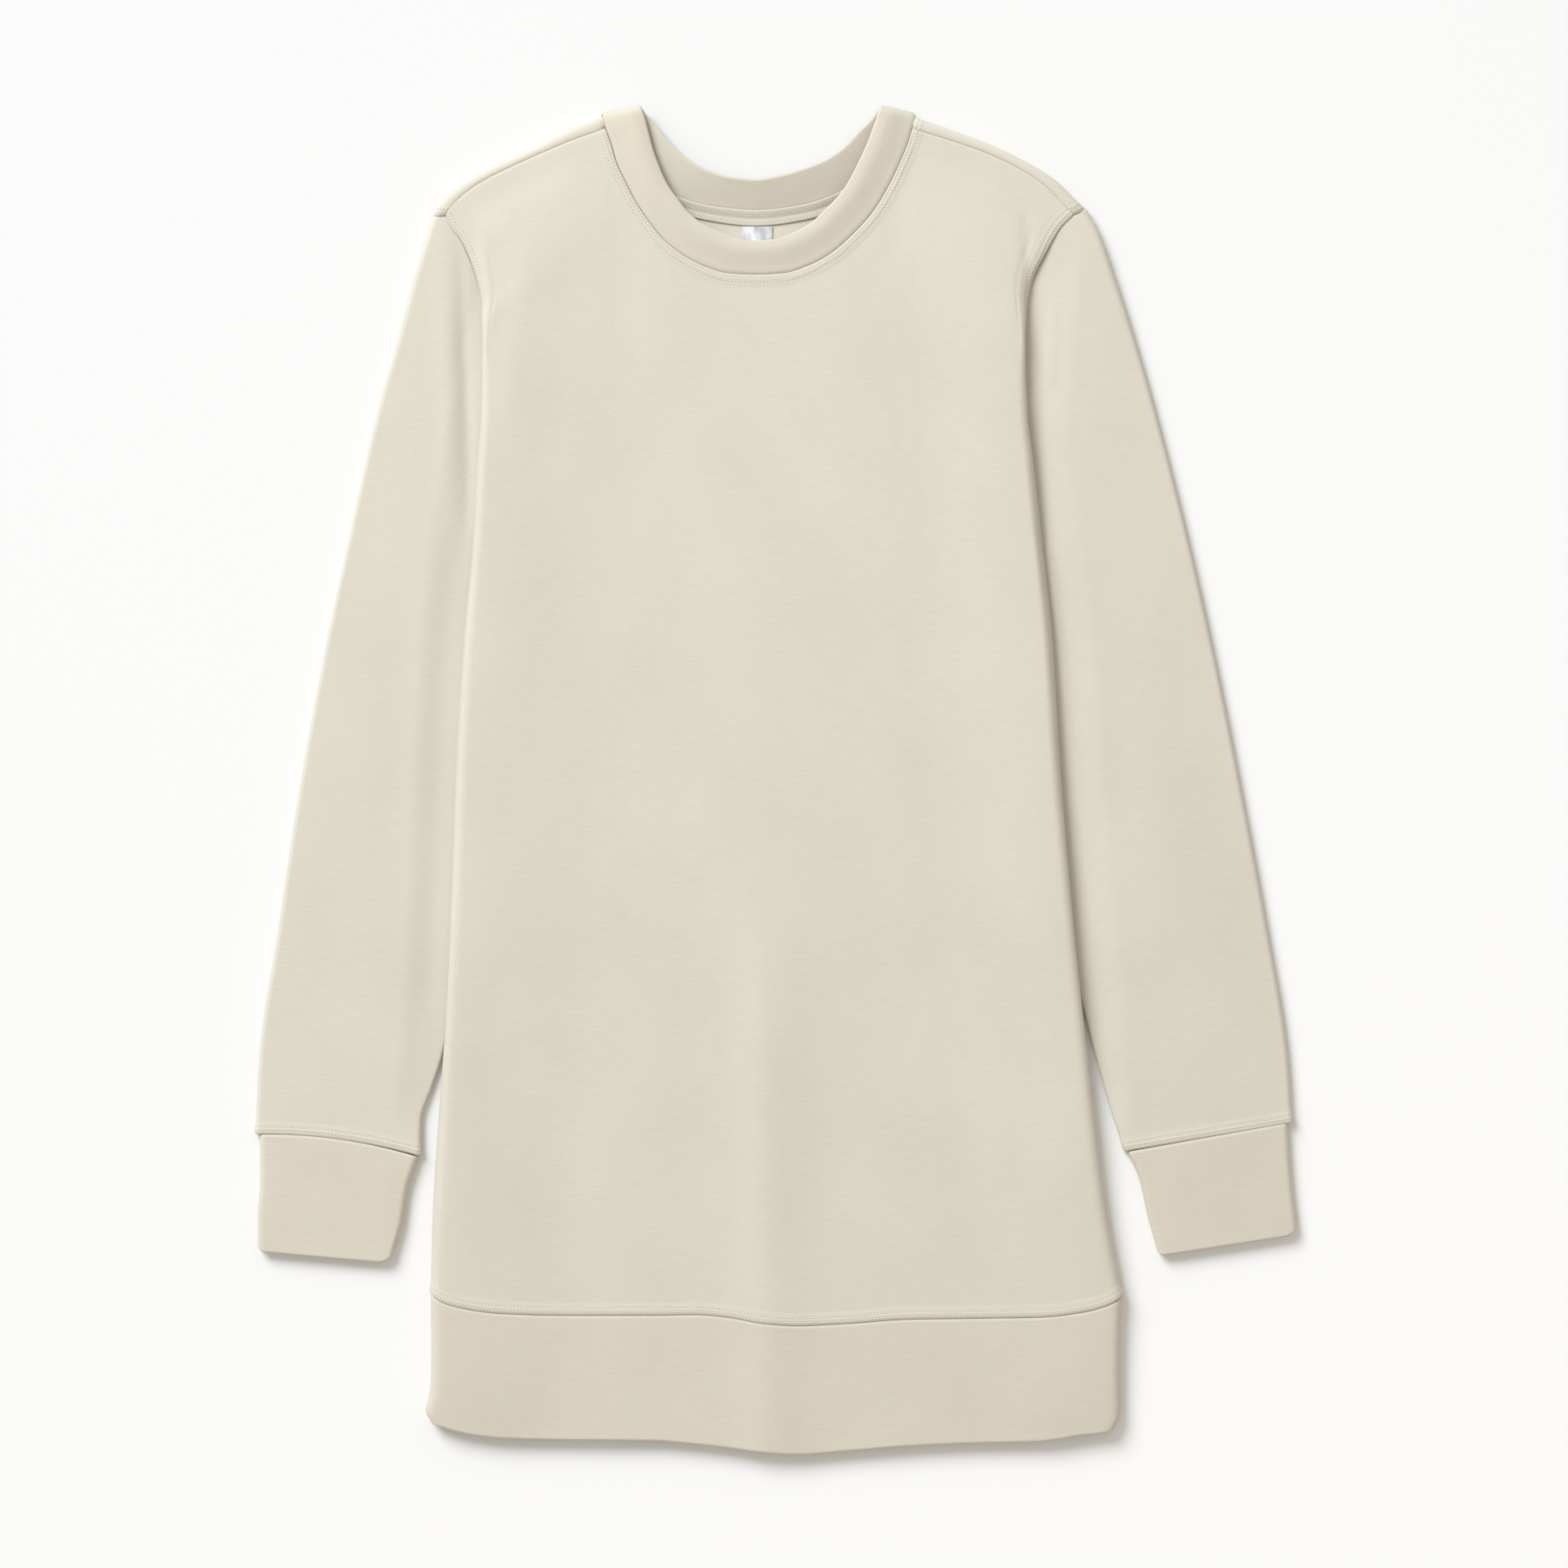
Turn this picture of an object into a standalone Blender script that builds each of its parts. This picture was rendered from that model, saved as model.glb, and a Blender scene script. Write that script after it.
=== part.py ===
"""A crew-neck tunic sweatshirt, laid flat on a surface with its sides tucked under its front.

Every sewn piece is a solid of its own: a sheet of cloth, worked out as a grid of points down the middle
of its wall and given its thickness. The tables below are in millimetres: X runs to the viewer's right,
Y towards the neck and Z up from the surface that the garment lies on. The mesh is made in metres.
"""

from collections import namedtuple
from math import pi

import bpy
import numpy as np

METRE = 0.001  # one millimetre of the tables

CLOTH = 1.6  # thickness of the body and sleeve cloth
BAND = 2.6  # thickness of the doubled bands at neck and hem
CUFF = 2.4  # thickness of the doubled cuffs
TAPE = 0.8  # thickness of the neck tape
LABEL = 0.6  # thickness of the label
SEAM_GAP = 0.4  # clear distance between two sewn pieces
HIDDEN_GAP = 0.8  # and where their seam lies under the tucked sides

SLEEVE_PRESSED = 2.6  # between the middles of a sleeve's two layers, where the body lies on it
SLEEVE_OPEN = 5.0  # and where it lies free
SLEEVE_CROWN = 0.4  # extra height along the middle of a free sleeve, and of a cuff
SLEEVE_LIFT_OFF = 8.0  # distance from the body's edge at which a sleeve starts to spring open
SLEEVE_RISE = 20.0  # distance over which it then does
CUFF_OPEN = 5.0  # between the middles of a cuff's two layers
RIDGE_X = -16.0  # the soft fold that runs down the front's middle to the hem
RIDGE_WIDTH = 17.0
RIDGE_HEIGHT = 1.8
RIDGE_START = -40.0  # height up the garment at which it begins
RIDGE_GROWTH = 160.0  # distance over which it then reaches its full height
SIDE_SLOPE = 85.0  # width over which the front climbs from its middle to its side folds
BAND_CROWN = 1.1  # how far the neckband's middle stands above a flat strip
NECK_TAPE_ON_BAND = 1.6  # how far the tape reaches up the neckband from the seam
NECK_TAPE_ON_BACK = 8.0  # and down the back panel
LABEL_WIDTH = 18.5
LABEL_HEIGHT = 36.0
LABEL_X = -12.0  # middle of the label
BACK_HEM_SHORTER = 3.0  # the back hem ends this far inside the front one
SHOULDER_TOP = 8.5  # height of the back panel where it comes over the shoulder to its seam
NECK_RUN = 0.6  # the back panel's straight end at its neck seam, past its turn
BACK_NECK_RISE = 0.1  # how far the back panel's neck edge stands above the rest of it
END_STRETCH = 7.0  # the last stretch of tucked cloth, which comes down beside the sleeve
LEFT_SEAM_BOW = 3.8  # how far the left cuff's seam bows up between its ends
CUFF_ROUNDING = 1.6  # how far from its edge a doubled band starts to round off

# The body's side, from the hem up to the shoulder: where the front panel's outline lies on the left
# and right, through how many degrees its cloth turns there, how far it then runs on to its seam, and
# the heights of its top, of the end of its turn and of its seam.
Side = namedtuple("Side", "y left right turn run top tuck seam")
BODY_SIDE = [
    Side(-316, -213.5, 213.5, 180, 20.0, 11.6, 0.9, 0.8),
    Side(-265, -212.0, 203.5, 180, 21.0, 12.2, 1.0, 0.8),
    Side(-210, -208.5, 196.5, 180, 22.5, 12.9, 2.2, 0.8),
    Side(-150, -204.3, 189.5, 180, 25.0, 13.4, 5.0, 0.8),
    Side(-70, -200.5, 181.5, 180, 30.0, 13.8, 5.4, 0.8),
    Side(10, -197.5, 174.5, 180, 38.0, 13.8, 5.4, 0.8),
    Side(90, -193.0, 169.5, 180, 48.0, 13.8, 5.4, 0.9),
    Side(130, -189.5, 165.5, 180, 53.0, 13.8, 5.4, 2.6),
    Side(148, -188.0, 163.4, 180, 51.0, 13.8, 5.4, 5.4),
    Side(160, -187.0, 162.0, 180, 44.5, 13.8, 5.4, 5.4),
    Side(200, -184.3, 157.7, 180, 34.5, 13.7, 5.4, 5.4),
    Side(230, -182.0, 154.5, 180, 22.5, 13.6, 5.4, 5.4),
    Side(255, -181.3, 153.3, 176, 10.5, 13.3, 5.4, 5.4),
    Side(280, -181.1, 153.2, 135, 2.4, 12.9, 5.2, 5.2),
    Side(294, -181.0, 154.0, 92, 1.5, 12.4, 5.0, 5.0),
    Side(304, -183.0, 156.0, 66, 1.5, 12.0, 5.7, 5.7),
    Side(313, -186.0, 159.5, 46, 1.6, 11.4, 6.4, 6.4),
    Side(323, -190.0, 165.0, 28, 1.8, 10.6, 7.2, 7.2),
    Side(333, -195.0, 170.5, 15, 2.0, 9.7, 7.8, 7.8),
    Side(340, -200.5, 175.0, 9, 2.0, 9.0, 8.0, 8.0),
    Side(348, -204.0, 183.0, 4, 2.0, 8.7, 8.2, 8.2),
]

# Height of the middle of a sleeve's upper layer along its armhole seam.
Cap = namedtuple("Cap", "y height")
SLEEVE_CAP = [
    Cap(160, 3.4),
    Cap(230, 3.4),
    Cap(280, 3.4),
    Cap(294, 3.6),
    Cap(304, 4.6),
    Cap(313, 5.6),
    Cap(323, 6.6),
    Cap(333, 7.4),
    Cap(340, 7.7),
    Cap(352, 7.8),
]

# The shoulder seams, from the armhole to the neck, and how wide a strip of the back panel shows
# between them and the shoulder's outline.
Shoulder = namedtuple("Shoulder", "x y strip")
LEFT_SHOULDER = [
    Shoulder(-204.0, 347.8, 8.0),
    Shoulder(-200.0, 353.3, 7.2),
    Shoulder(-194.5, 359.3, 6.6),
    Shoulder(-182.0, 368.3, 5.8),
    Shoulder(-164.5, 377.3, 5.6),
    Shoulder(-144.5, 386.3, 6.0),
    Shoulder(-123.0, 395.3, 7.4),
    Shoulder(-106.5, 401.6, 8.0),
]
RIGHT_SHOULDER = [
    Shoulder(183.0, 348.3, 8.0),
    Shoulder(177.5, 353.5, 7.6),
    Shoulder(169.5, 362.3, 7.2),
    Shoulder(162.5, 368.3, 6.6),
    Shoulder(148.0, 377.3, 6.0),
    Shoulder(129.0, 386.3, 6.0),
    Shoulder(103.0, 395.3, 6.6),
    Shoulder(85.0, 401.6, 7.6),
]

# The neckband, all the way round from the front's middle over the left shoulder: where it is sewn on,
# and where its folded free edge lies.
Neck = namedtuple("Neck", "seam_x seam_y seam_z edge_x edge_y edge_z")
NECKBAND = [
    Neck(-13.0, 311.2, 8.5, -12.0, 331.8, 9.8),
    Neck(-30.5, 312.2, 8.5, -26.0, 333.8, 9.8),
    Neck(-44.0, 316.2, 8.5, -36.5, 337.8, 9.9),
    Neck(-57.5, 323.2, 8.5, -45.5, 342.2, 10.0),
    Neck(-69.5, 332.8, 8.5, -54.0, 348.8, 10.1),
    Neck(-78.5, 343.8, 8.5, -60.5, 356.8, 10.2),
    Neck(-86.5, 355.8, 8.5, -67.5, 366.8, 10.3),
    Neck(-93.5, 369.2, 8.5, -73.0, 379.2, 10.4),
    Neck(-99.0, 381.2, 8.5, -76.5, 389.2, 10.5),
    Neck(-102.0, 391.8, 8.5, -79.0, 398.8, 10.6),
    Neck(-105.5, 401.2, 8.5, -81.0, 406.8, 10.7),
    Neck(-107.0, 407.2, 7.8, -82.8, 412.4, 10.6),
    Neck(-107.5, 410.2, 5.4, -83.5, 414.6, 8.8),
    Neck(-106.5, 407.0, 3.0, -82.3, 412.6, 6.9),
    Neck(-102.5, 398.0, 1.8, -78.0, 407.0, 6.4),
    Neck(-96.0, 385.2, 1.6, -71.0, 398.8, 6.6),
    Neck(-86.0, 373.8, 1.6, -62.5, 389.2, 7.0),
    Neck(-73.5, 364.2, 1.6, -53.5, 381.8, 7.4),
    Neck(-58.5, 357.2, 1.6, -43.0, 375.8, 7.8),
    Neck(-38.5, 352.2, 1.6, -28.5, 371.6, 8.0),
    Neck(-13.0, 349.8, 1.6, -13.0, 370.2, 8.0),
    Neck(14.0, 352.8, 1.6, 4.0, 373.2, 8.0),
    Neck(34.0, 358.8, 1.6, 20.0, 378.2, 7.8),
    Neck(49.0, 367.2, 1.6, 32.5, 383.8, 7.4),
    Neck(61.5, 377.2, 1.6, 42.5, 391.2, 7.0),
    Neck(71.5, 387.8, 1.6, 50.5, 399.8, 6.6),
    Neck(80.0, 398.8, 1.8, 58.0, 407.2, 6.4),
    Neck(84.0, 407.0, 3.0, 62.5, 413.0, 6.9),
    Neck(85.0, 410.2, 5.4, 64.0, 414.6, 8.8),
    Neck(85.0, 407.2, 7.8, 63.0, 412.2, 10.6),
    Neck(83.5, 401.2, 8.5, 61.5, 406.8, 10.7),
    Neck(81.0, 392.8, 8.5, 59.0, 400.2, 10.6),
    Neck(78.0, 385.2, 8.5, 56.0, 392.2, 10.5),
    Neck(70.0, 367.8, 8.5, 49.5, 378.2, 10.4),
    Neck(59.5, 350.2, 8.5, 41.2, 363.4, 10.2),
    Neck(47.0, 336.2, 8.5, 31.0, 352.0, 10.1),
    Neck(34.0, 324.8, 8.5, 21.0, 342.8, 10.0),
    Neck(20.5, 317.2, 8.5, 11.5, 337.4, 9.9),
    Neck(4.5, 312.2, 8.5, 0.5, 333.2, 9.8),
]
LEFT_CORNER, RIGHT_CORNER = 10, 30  # the rows where the shoulder seams meet the neckband

# Outlines of the sleeves and cuffs, from the armhole down, and the inner, underarm side, of which the
# stretch above the body's edge is hidden.
Line = namedtuple("Line", "x y")
LEFT_SLEEVE_OUTER = [
    Line(-212.5, 347.2),
    Line(-215.5, 338.2),
    Line(-224.0, 310.2),
    Line(-234.5, 270.2),
    Line(-246.0, 230.2),
    Line(-264.0, 150.2),
    Line(-281.0, 70.2),
    Line(-295.5, -9.8),
    Line(-307.5, -89.8),
    Line(-319.5, -169.8),
    Line(-322.0, -218.8),
]
LEFT_SLEEVE_INNER = [
    Line(-138.0, 160.0),
    Line(-158.0, 70.0),
    Line(-181.0, -49.8),
    Line(-206.0, -169.8),
    Line(-212.5, -189.8),
    Line(-219.0, -209.8),
    Line(-219.5, -232.2),
]
RIGHT_SLEEVE_OUTER = [
    Line(191.0, 352.2),
    Line(198.5, 338.2),
    Line(208.5, 310.2),
    Line(221.5, 270.2),
    Line(233.0, 230.2),
    Line(253.5, 150.2),
    Line(271.5, 70.2),
    Line(287.5, -9.8),
    Line(302.5, -89.8),
    Line(315.5, -169.8),
    Line(318.5, -211.8),
]
RIGHT_SLEEVE_INNER = [
    Line(113.0, 160.0),
    Line(134.0, 70.0),
    Line(165.0, -49.8),
    Line(196.5, -169.8),
    Line(202.0, -189.8),
    Line(208.0, -209.8),
    Line(214.5, -229.2),
]
LEFT_CUFF_OUTER = [
    Line(-319.0, -219.4),
    Line(-319.0, -249.8),
    Line(-320.5, -269.8),
    Line(-320.5, -291.2),
]
LEFT_CUFF_INNER = [
    Line(-221.5, -233.6),
    Line(-227.5, -252.2),
    Line(-231.0, -274.8),
    Line(-236.5, -298.4),
]
RIGHT_CUFF_OUTER = [
    Line(315.5, -212.6),
    Line(316.8, -234.8),
    Line(319.0, -259.8),
    Line(321.3, -281.0),
]
RIGHT_CUFF_INNER = [
    Line(216.5, -229.4),
    Line(224.0, -247.2),
    Line(229.0, -269.8),
    Line(235.0, -293.8),
]

# The hem: the seam and the folded lower edge across the front.
Hem = namedtuple("Hem", "x seam edge")
HEM = [
    Hem(-214.0, -316.0, -395.8),
    Hem(-206.0, -322.0, -398.8),
    Hem(-190.0, -326.4, -403.0),
    Hem(-170.0, -329.0, -405.6),
    Hem(-130.0, -330.4, -406.8),
    Hem(-78.0, -330.4, -407.3),
    Hem(-50.0, -330.0, -409.5),
    Hem(-28.5, -331.8, -411.8),
    Hem(-8.5, -335.2, -414.4),
    Hem(14.0, -336.8, -415.8),
    Hem(41.5, -335.6, -413.8),
    Hem(81.5, -332.8, -410.6),
    Hem(121.5, -332.2, -408.8),
    Hem(161.5, -331.4, -407.7),
    Hem(188.0, -328.2, -403.8),
    Hem(204.0, -323.8, -401.8),
    Hem(213.5, -318.0, -396.5),
]
# The hem band's sides from the seam down to its edge.
HemSide = namedtuple("HemSide", "reach left right top tuck")
HEM_SIDE = [
    HemSide(0.0, -213.5, 213.0, 11.8, 1.5),
    HemSide(0.4, -213.0, 212.0, 11.4, 1.5),
    HemSide(0.8, -213.6, 211.8, 10.6, 1.5),
    HemSide(1.0, -215.0, 211.0, 9.6, 1.5),
]
HEM_TUCK = 20.0  # how far the hem band runs on beneath the front to its side seams

# Height of the front's middle line, from the hem's edge up to the neck.
Middle = namedtuple("Middle", "y height")
FRONT_MIDDLE = [
    Middle(-416, 8.5),
    Middle(-330, 8.6),
    Middle(-200, 8.8),
    Middle(0, 8.8),
    Middle(200, 8.8),
    Middle(311, 8.5),
    Middle(416, 8.5),
]

CREAM = (0.72, 0.68, 0.58)
CREAM_SHADE = (0.68, 0.63, 0.53)
SATIN = (0.80, 0.80, 0.82)


# ---------------------------------------------------------------- reading the tables


def ease(t):
    """0 below 0, 1 above 1, and a smooth step between."""
    t = np.clip(t, 0.0, 1.0)
    return t * t * (3.0 - 2.0 * t)


def column(table, name):
    return np.array([getattr(row, name) for row in table], float)


def smooth(table, key, name, at):
    """Reads one column at any value of the key: a cubic between rows, which never overshoots them."""
    keys, values = column(table, key), column(table, name)
    order = np.argsort(keys)
    return cubic(keys[order], values[order], np.asarray(at, float))


def cubic(keys, values, at):
    """A cubic through the values, its slope at each the harmonic mean of its neighbours'."""
    rise = np.diff(values) / np.diff(keys)
    slope = np.concatenate([[rise[0]], np.zeros(len(rise) - 1), [rise[-1]]])
    same = rise[:-1] * rise[1:] > 0
    both = np.where(same, rise[:-1] + rise[1:], 1.0)
    slope[1:-1] = np.where(same, 2.0 * rise[:-1] * rise[1:] / both, 0.0)
    at = np.clip(at, keys[0], keys[-1])
    i = np.clip(np.searchsorted(keys, at) - 1, 0, len(keys) - 2)
    wide = keys[i + 1] - keys[i]
    t = (at - keys[i]) / wide
    return (
        values[i] * (1 + 2 * t) * (1 - t) ** 2
        + slope[i] * wide * t * (1 - t) ** 2
        + values[i + 1] * t * t * (3 - 2 * t)
        + slope[i + 1] * wide * t * t * (t - 1)
    )


def follow(points, count):
    """Evenly spaced points on a smooth curve through the given ones."""
    points = np.asarray(points, float)
    steps = np.linalg.norm(np.diff(points, axis=0), axis=1)
    keys = np.concatenate([[0.0], np.cumsum(steps)])
    at = np.linspace(0.0, keys[-1], count + 1)
    return np.stack([cubic(keys, points[:, k], at) for k in range(points.shape[1])], axis=1)


# ---------------------------------------------------------------- from a sheet to a solid


def vertex_normals(grid, closed):
    """The unit normal at each point of a grid, from the quads round it."""
    ring = np.concatenate([grid, grid[:1]]) if closed else grid
    across = ring[1:, 1:] - ring[:-1, :-1]
    along = ring[:-1, 1:] - ring[1:, :-1]
    quad = np.cross(across, along)
    total = np.zeros_like(ring)
    for di in (0, 1):
        for dj in (0, 1):
            total[di : di + quad.shape[0], dj : dj + quad.shape[1]] += quad
    if closed:
        total[0] += total[-1]
        total = total[:-1]
    return total / np.linalg.norm(total, axis=2, keepdims=True)


def sheet_solid(name, grid, thickness, colour, closed=False, roughness=0.95):
    """A closed solid from the grid of points down the middle of a wall; closed joins its first index
    into a ring."""
    grid = np.asarray(grid, float)
    half = np.broadcast_to(np.asarray(thickness, float), grid.shape[:2])[..., None] / 2.0
    normal = vertex_normals(grid, closed)
    rows, columns = grid.shape[:2]
    outer = (grid + normal * half).reshape(-1, 3)
    inner = (grid - normal * half).reshape(-1, 3)
    number = np.arange(rows * columns).reshape(rows, columns)
    if closed:
        number = np.concatenate([number, number[:1]])
    a, b = number[:-1, :-1].ravel(), number[1:, :-1].ravel()
    c, d = number[1:, 1:].ravel(), number[:-1, 1:].ravel()
    under = rows * columns
    faces = [np.stack([a, d, c, b], axis=1), under + np.stack([a, b, c, d], axis=1)]
    rims = [number[:, 0], number[::-1, -1]]
    if not closed:
        rims += [number[0, ::-1], number[-1]]
    for rim in rims:
        p, q = rim[:-1], rim[1:]
        faces.append(np.stack([p, q, q + under, p + under], axis=1))
    points, quads = np.concatenate([outer, inner]) * METRE, np.concatenate(faces)
    corner = points[quads]
    fan = np.cross(corner[:, 1] - corner[:, 0], corner[:, 2] - corner[:, 0])
    fan += np.cross(corner[:, 2] - corner[:, 0], corner[:, 3] - corner[:, 0])
    if (fan * corner.mean(axis=1)).sum() < 0:
        quads = quads[:, ::-1]
    mesh = bpy.data.meshes.new(name)
    mesh.from_pydata(points.tolist(), [], quads.tolist())
    mesh.shade_smooth()
    mesh.set_sharp_from_angle(angle=0.9)
    piece = bpy.data.objects.new(name, mesh)
    bpy.context.scene.collection.objects.link(piece)
    mesh.materials.append(cloth_material(name, colour, roughness))
    return piece


def cloth_material(name, colour, roughness):
    material = bpy.data.materials.new(name)
    material.use_nodes = True
    shader = material.node_tree.nodes["Principled BSDF"]
    shader.inputs["Base Color"].default_value = (*colour, 1.0)
    shader.inputs["Roughness"].default_value = roughness
    shader.inputs["Metallic"].default_value = 0.0
    return material


# ---------------------------------------------------------------- edges that turn over


def turned_edge(end, outward, rise, turn, run, bends, runs):
    """The strip of cloth along a folded edge, one row for each end point.

    From its foot the cloth leaves along outward, bends through the angle turn, and runs on straight to
    its end, rise higher than its foot. Returns the strip's points from the end to the foot.
    """
    angle = np.radians(turn)
    radius = (np.abs(rise) - run * np.sin(angle)) / (1.0 - np.cos(angle))
    side = np.sign(rise)
    lift = np.array([0.0, 0.0, 1.0])
    reach = radius * np.sin(angle) + run * np.cos(angle)
    foot = end - outward * reach[:, None] - lift * rise[:, None]
    strip = []
    for k in range(bends + 1):
        part = angle * k / bends
        strip.append(
            foot
            + outward * (radius * np.sin(part))[:, None]
            + lift * (side * radius * (1.0 - np.cos(part)))[:, None]
        )
    start = strip[-1]
    last = np.where(run > 0, np.minimum(END_STRETCH, run / 2) / np.maximum(run, 0.01), 0.5)
    for share in [(1 - last) / 2, 1 - last, 1 - 0.4 * last, np.ones_like(last)][4 - runs :]:
        strip.append(start + (end - start) * share[:, None])
    return np.stack(strip[::-1], axis=1)


def front_seam(y, side):
    """The front panel's sewn edge at a height up the body: under the body where its side is tucked,
    and along the armhole above. side is -1 on the left and 1 on the right."""
    outline = smooth(BODY_SIDE, "y", "left" if side < 0 else "right", y)
    angle = np.radians(smooth(BODY_SIDE, "y", "turn", y))
    run = smooth(BODY_SIDE, "y", "run", y)
    top, tuck = smooth(BODY_SIDE, "y", "top", y), smooth(BODY_SIDE, "y", "tuck", y)
    radius = (top - tuck - run * np.sin(angle)) / (1.0 - np.cos(angle))
    hidden = CLOTH / 2 + radius * (1.0 - np.sin(angle)) - run * np.cos(angle)
    return outline - side * np.where(angle > pi / 2, hidden, 0.0)


# ---------------------------------------------------------------- the body


def front_height(x, y, left_fold, right_fold, side_top):
    """Height of the front's cloth: low in the middle, climbing to the folds at its sides, with the
    soft ridge that runs down to the hem."""
    middle = smooth(FRONT_MIDDLE, "y", "height", y)
    near = np.minimum(x - left_fold, right_fold - x)
    climb = 1.0 - ease(near / SIDE_SLOPE)
    ridge = np.exp(-(((x - RIDGE_X) / RIDGE_WIDTH) ** 2)) * ease((RIDGE_START - y) / RIDGE_GROWTH)
    return middle + (side_top - middle) * climb + RIDGE_HEIGHT * ridge


# Heights up the armhole at which every piece that is sewn there has a point.
ARMHOLE_ROWS = [160.0, 200.0, 235.0, 262.0, 280.0, 294.0, 304.0, 313.0, 323.0, 333.0, 340.5]
ARMHOLE_TOP = 347.8
SIDE_ROWS = [-316.0, -265.0, -210.0, -150.0, -95.0, -40.0, 15.0, 65.0, 110.0, 138.0]
SIDE_BENDS = 5
SIDE_RUNS = 4
SHOULDER_COLUMNS = 5
NECK_SHARE = 0.24  # share of the front's width between its fold and the neck corner
FRONT_NECK_COLUMNS = 18
BACK_NECK_COLUMNS = 18


def neck_ring():
    """The neckband's sections, evenly spaced: the front's from the right shoulder seam to the left
    one, and the back's from there on."""
    rows = [tuple(row) for row in NECKBAND]
    front = rows[RIGHT_CORNER:] + rows[: LEFT_CORNER + 1]
    back = rows[LEFT_CORNER : RIGHT_CORNER + 1]
    return follow(front, FRONT_NECK_COLUMNS), follow(back, BACK_NECK_COLUMNS)


def lower_to_hem(strip, gap):
    """Moves a side strip's lowest row to the hem seam, which bends up round the fold."""
    x, z = strip[0, :, 0], strip[0, :, 2]
    over = z > (z.min() + z.max()) / 2
    limit = column(HEM, "x")
    x = np.where(over, x, limit.min() if x[0] < 0 else limit.max())
    strip[0, :, 1] = smooth(HEM, "x", "seam", x) + gap


def front_side(side):
    """The front panel's strip along one side, from its seam over the fold to where it lies flat."""
    y = np.array([*SIDE_ROWS, *ARMHOLE_ROWS, ARMHOLE_TOP])
    rows = {name: smooth(BODY_SIDE, "y", name, y) for name in Side._fields}
    slant = ease((y - 318.0) / 30.0)
    outward = np.stack([side * (1 - 0.32 * slant), -0.73 * slant, 0 * y], axis=1)
    outward /= np.linalg.norm(outward, axis=1)[:, None]
    end = np.stack([front_seam(y, side), y, rows["tuck"]], axis=1)
    end -= outward * np.where(rows["turn"] < 90, SEAM_GAP / 2, 0.0)[:, None]
    rise = rows["tuck"] - rows["top"]
    strip = turned_edge(end, outward, rise, rows["turn"], rows["run"], SIDE_BENDS, SIDE_RUNS)
    # Past the sleeve that it covers, the tucked cloth comes down to the side seam on the surface.
    drop = rows["tuck"] - rows["seam"]
    strip[:, 0, 2] -= drop
    strip[:, 1, 2] -= drop * ease(0.6)
    lower_to_hem(strip, SEAM_GAP * 0.75)
    return strip


def front_top(left_foot, right_foot):
    """The front's upper boundary between its side strips, in plan: the left shoulder seam, the
    neckline and the right shoulder seam, which end where the strips' feet do."""
    left = [(row.x, row.y) for row in LEFT_SHOULDER[3:]]
    right = [(row.x, row.y) for row in RIGHT_SHOULDER[::-1][:-3]]
    neck = neck_ring()[0][::-1, :2]
    left = follow([tuple(left_foot), *left[:-1], tuple(neck[0])], SHOULDER_COLUMNS)
    right = follow([tuple(neck[-1]), *right[1:], tuple(right_foot)], SHOULDER_COLUMNS)
    left[1:-1, 1] -= SEAM_GAP * 0.75
    right[1:-1, 1] -= SEAM_GAP * 0.75
    return np.concatenate([left[:-1], neck, right[1:]])


def front_columns():
    """Places of the front's columns across its width, the same in the panel and in its hem band."""
    feet = [front_side(side)[-1, -1, :2] for side in (-1, 1)]
    top = front_top(*feet)[:, 0]
    return (top - top[0]) / (top[-1] - top[0])


def front_panel():
    left_strip, right_strip = front_side(-1), front_side(1)
    left_foot, right_foot = left_strip[:, -1], right_strip[:, -1]
    top = front_top(left_foot[-1, :2], right_foot[-1, :2])
    share = front_columns()
    low = left_foot[0, 0] + (right_foot[0, 0] - left_foot[0, 0]) * share
    seam = smooth(HEM, "x", "seam", low) + SEAM_GAP * 0.75
    progress = (left_foot[:, 1] - left_foot[0, 1]) / (left_foot[-1, 1] - left_foot[0, 1])
    grid = np.zeros((len(progress), len(share), 3))
    for i, part in enumerate(progress):
        x0, x1 = left_foot[i, 0], right_foot[i, 0]
        x = low + (top[:, 0] - low) * part
        x += (x0 - x[0]) * (1 - np.minimum(share / NECK_SHARE, 1)) ** 2
        x += (x1 - x[-1]) * (1 - np.minimum((1 - share) / NECK_SHARE, 1)) ** 2
        y = seam + (top[:, 1] - seam) * part
        y += (right_foot[i, 1] - y[-1]) * ease((share - 0.85) / 0.15)
        z = front_height(x, y, x0, x1, left_foot[i, 2])
        grid[i] = np.stack([x, y, z], axis=1)
    grid[:, 0], grid[:, -1] = left_foot, right_foot
    whole = np.concatenate([left_strip[:, :-1], grid, right_strip[:, ::-1][:, 1:]], axis=1)
    return sheet_solid("front_panel", whole, CLOTH, CREAM)


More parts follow.
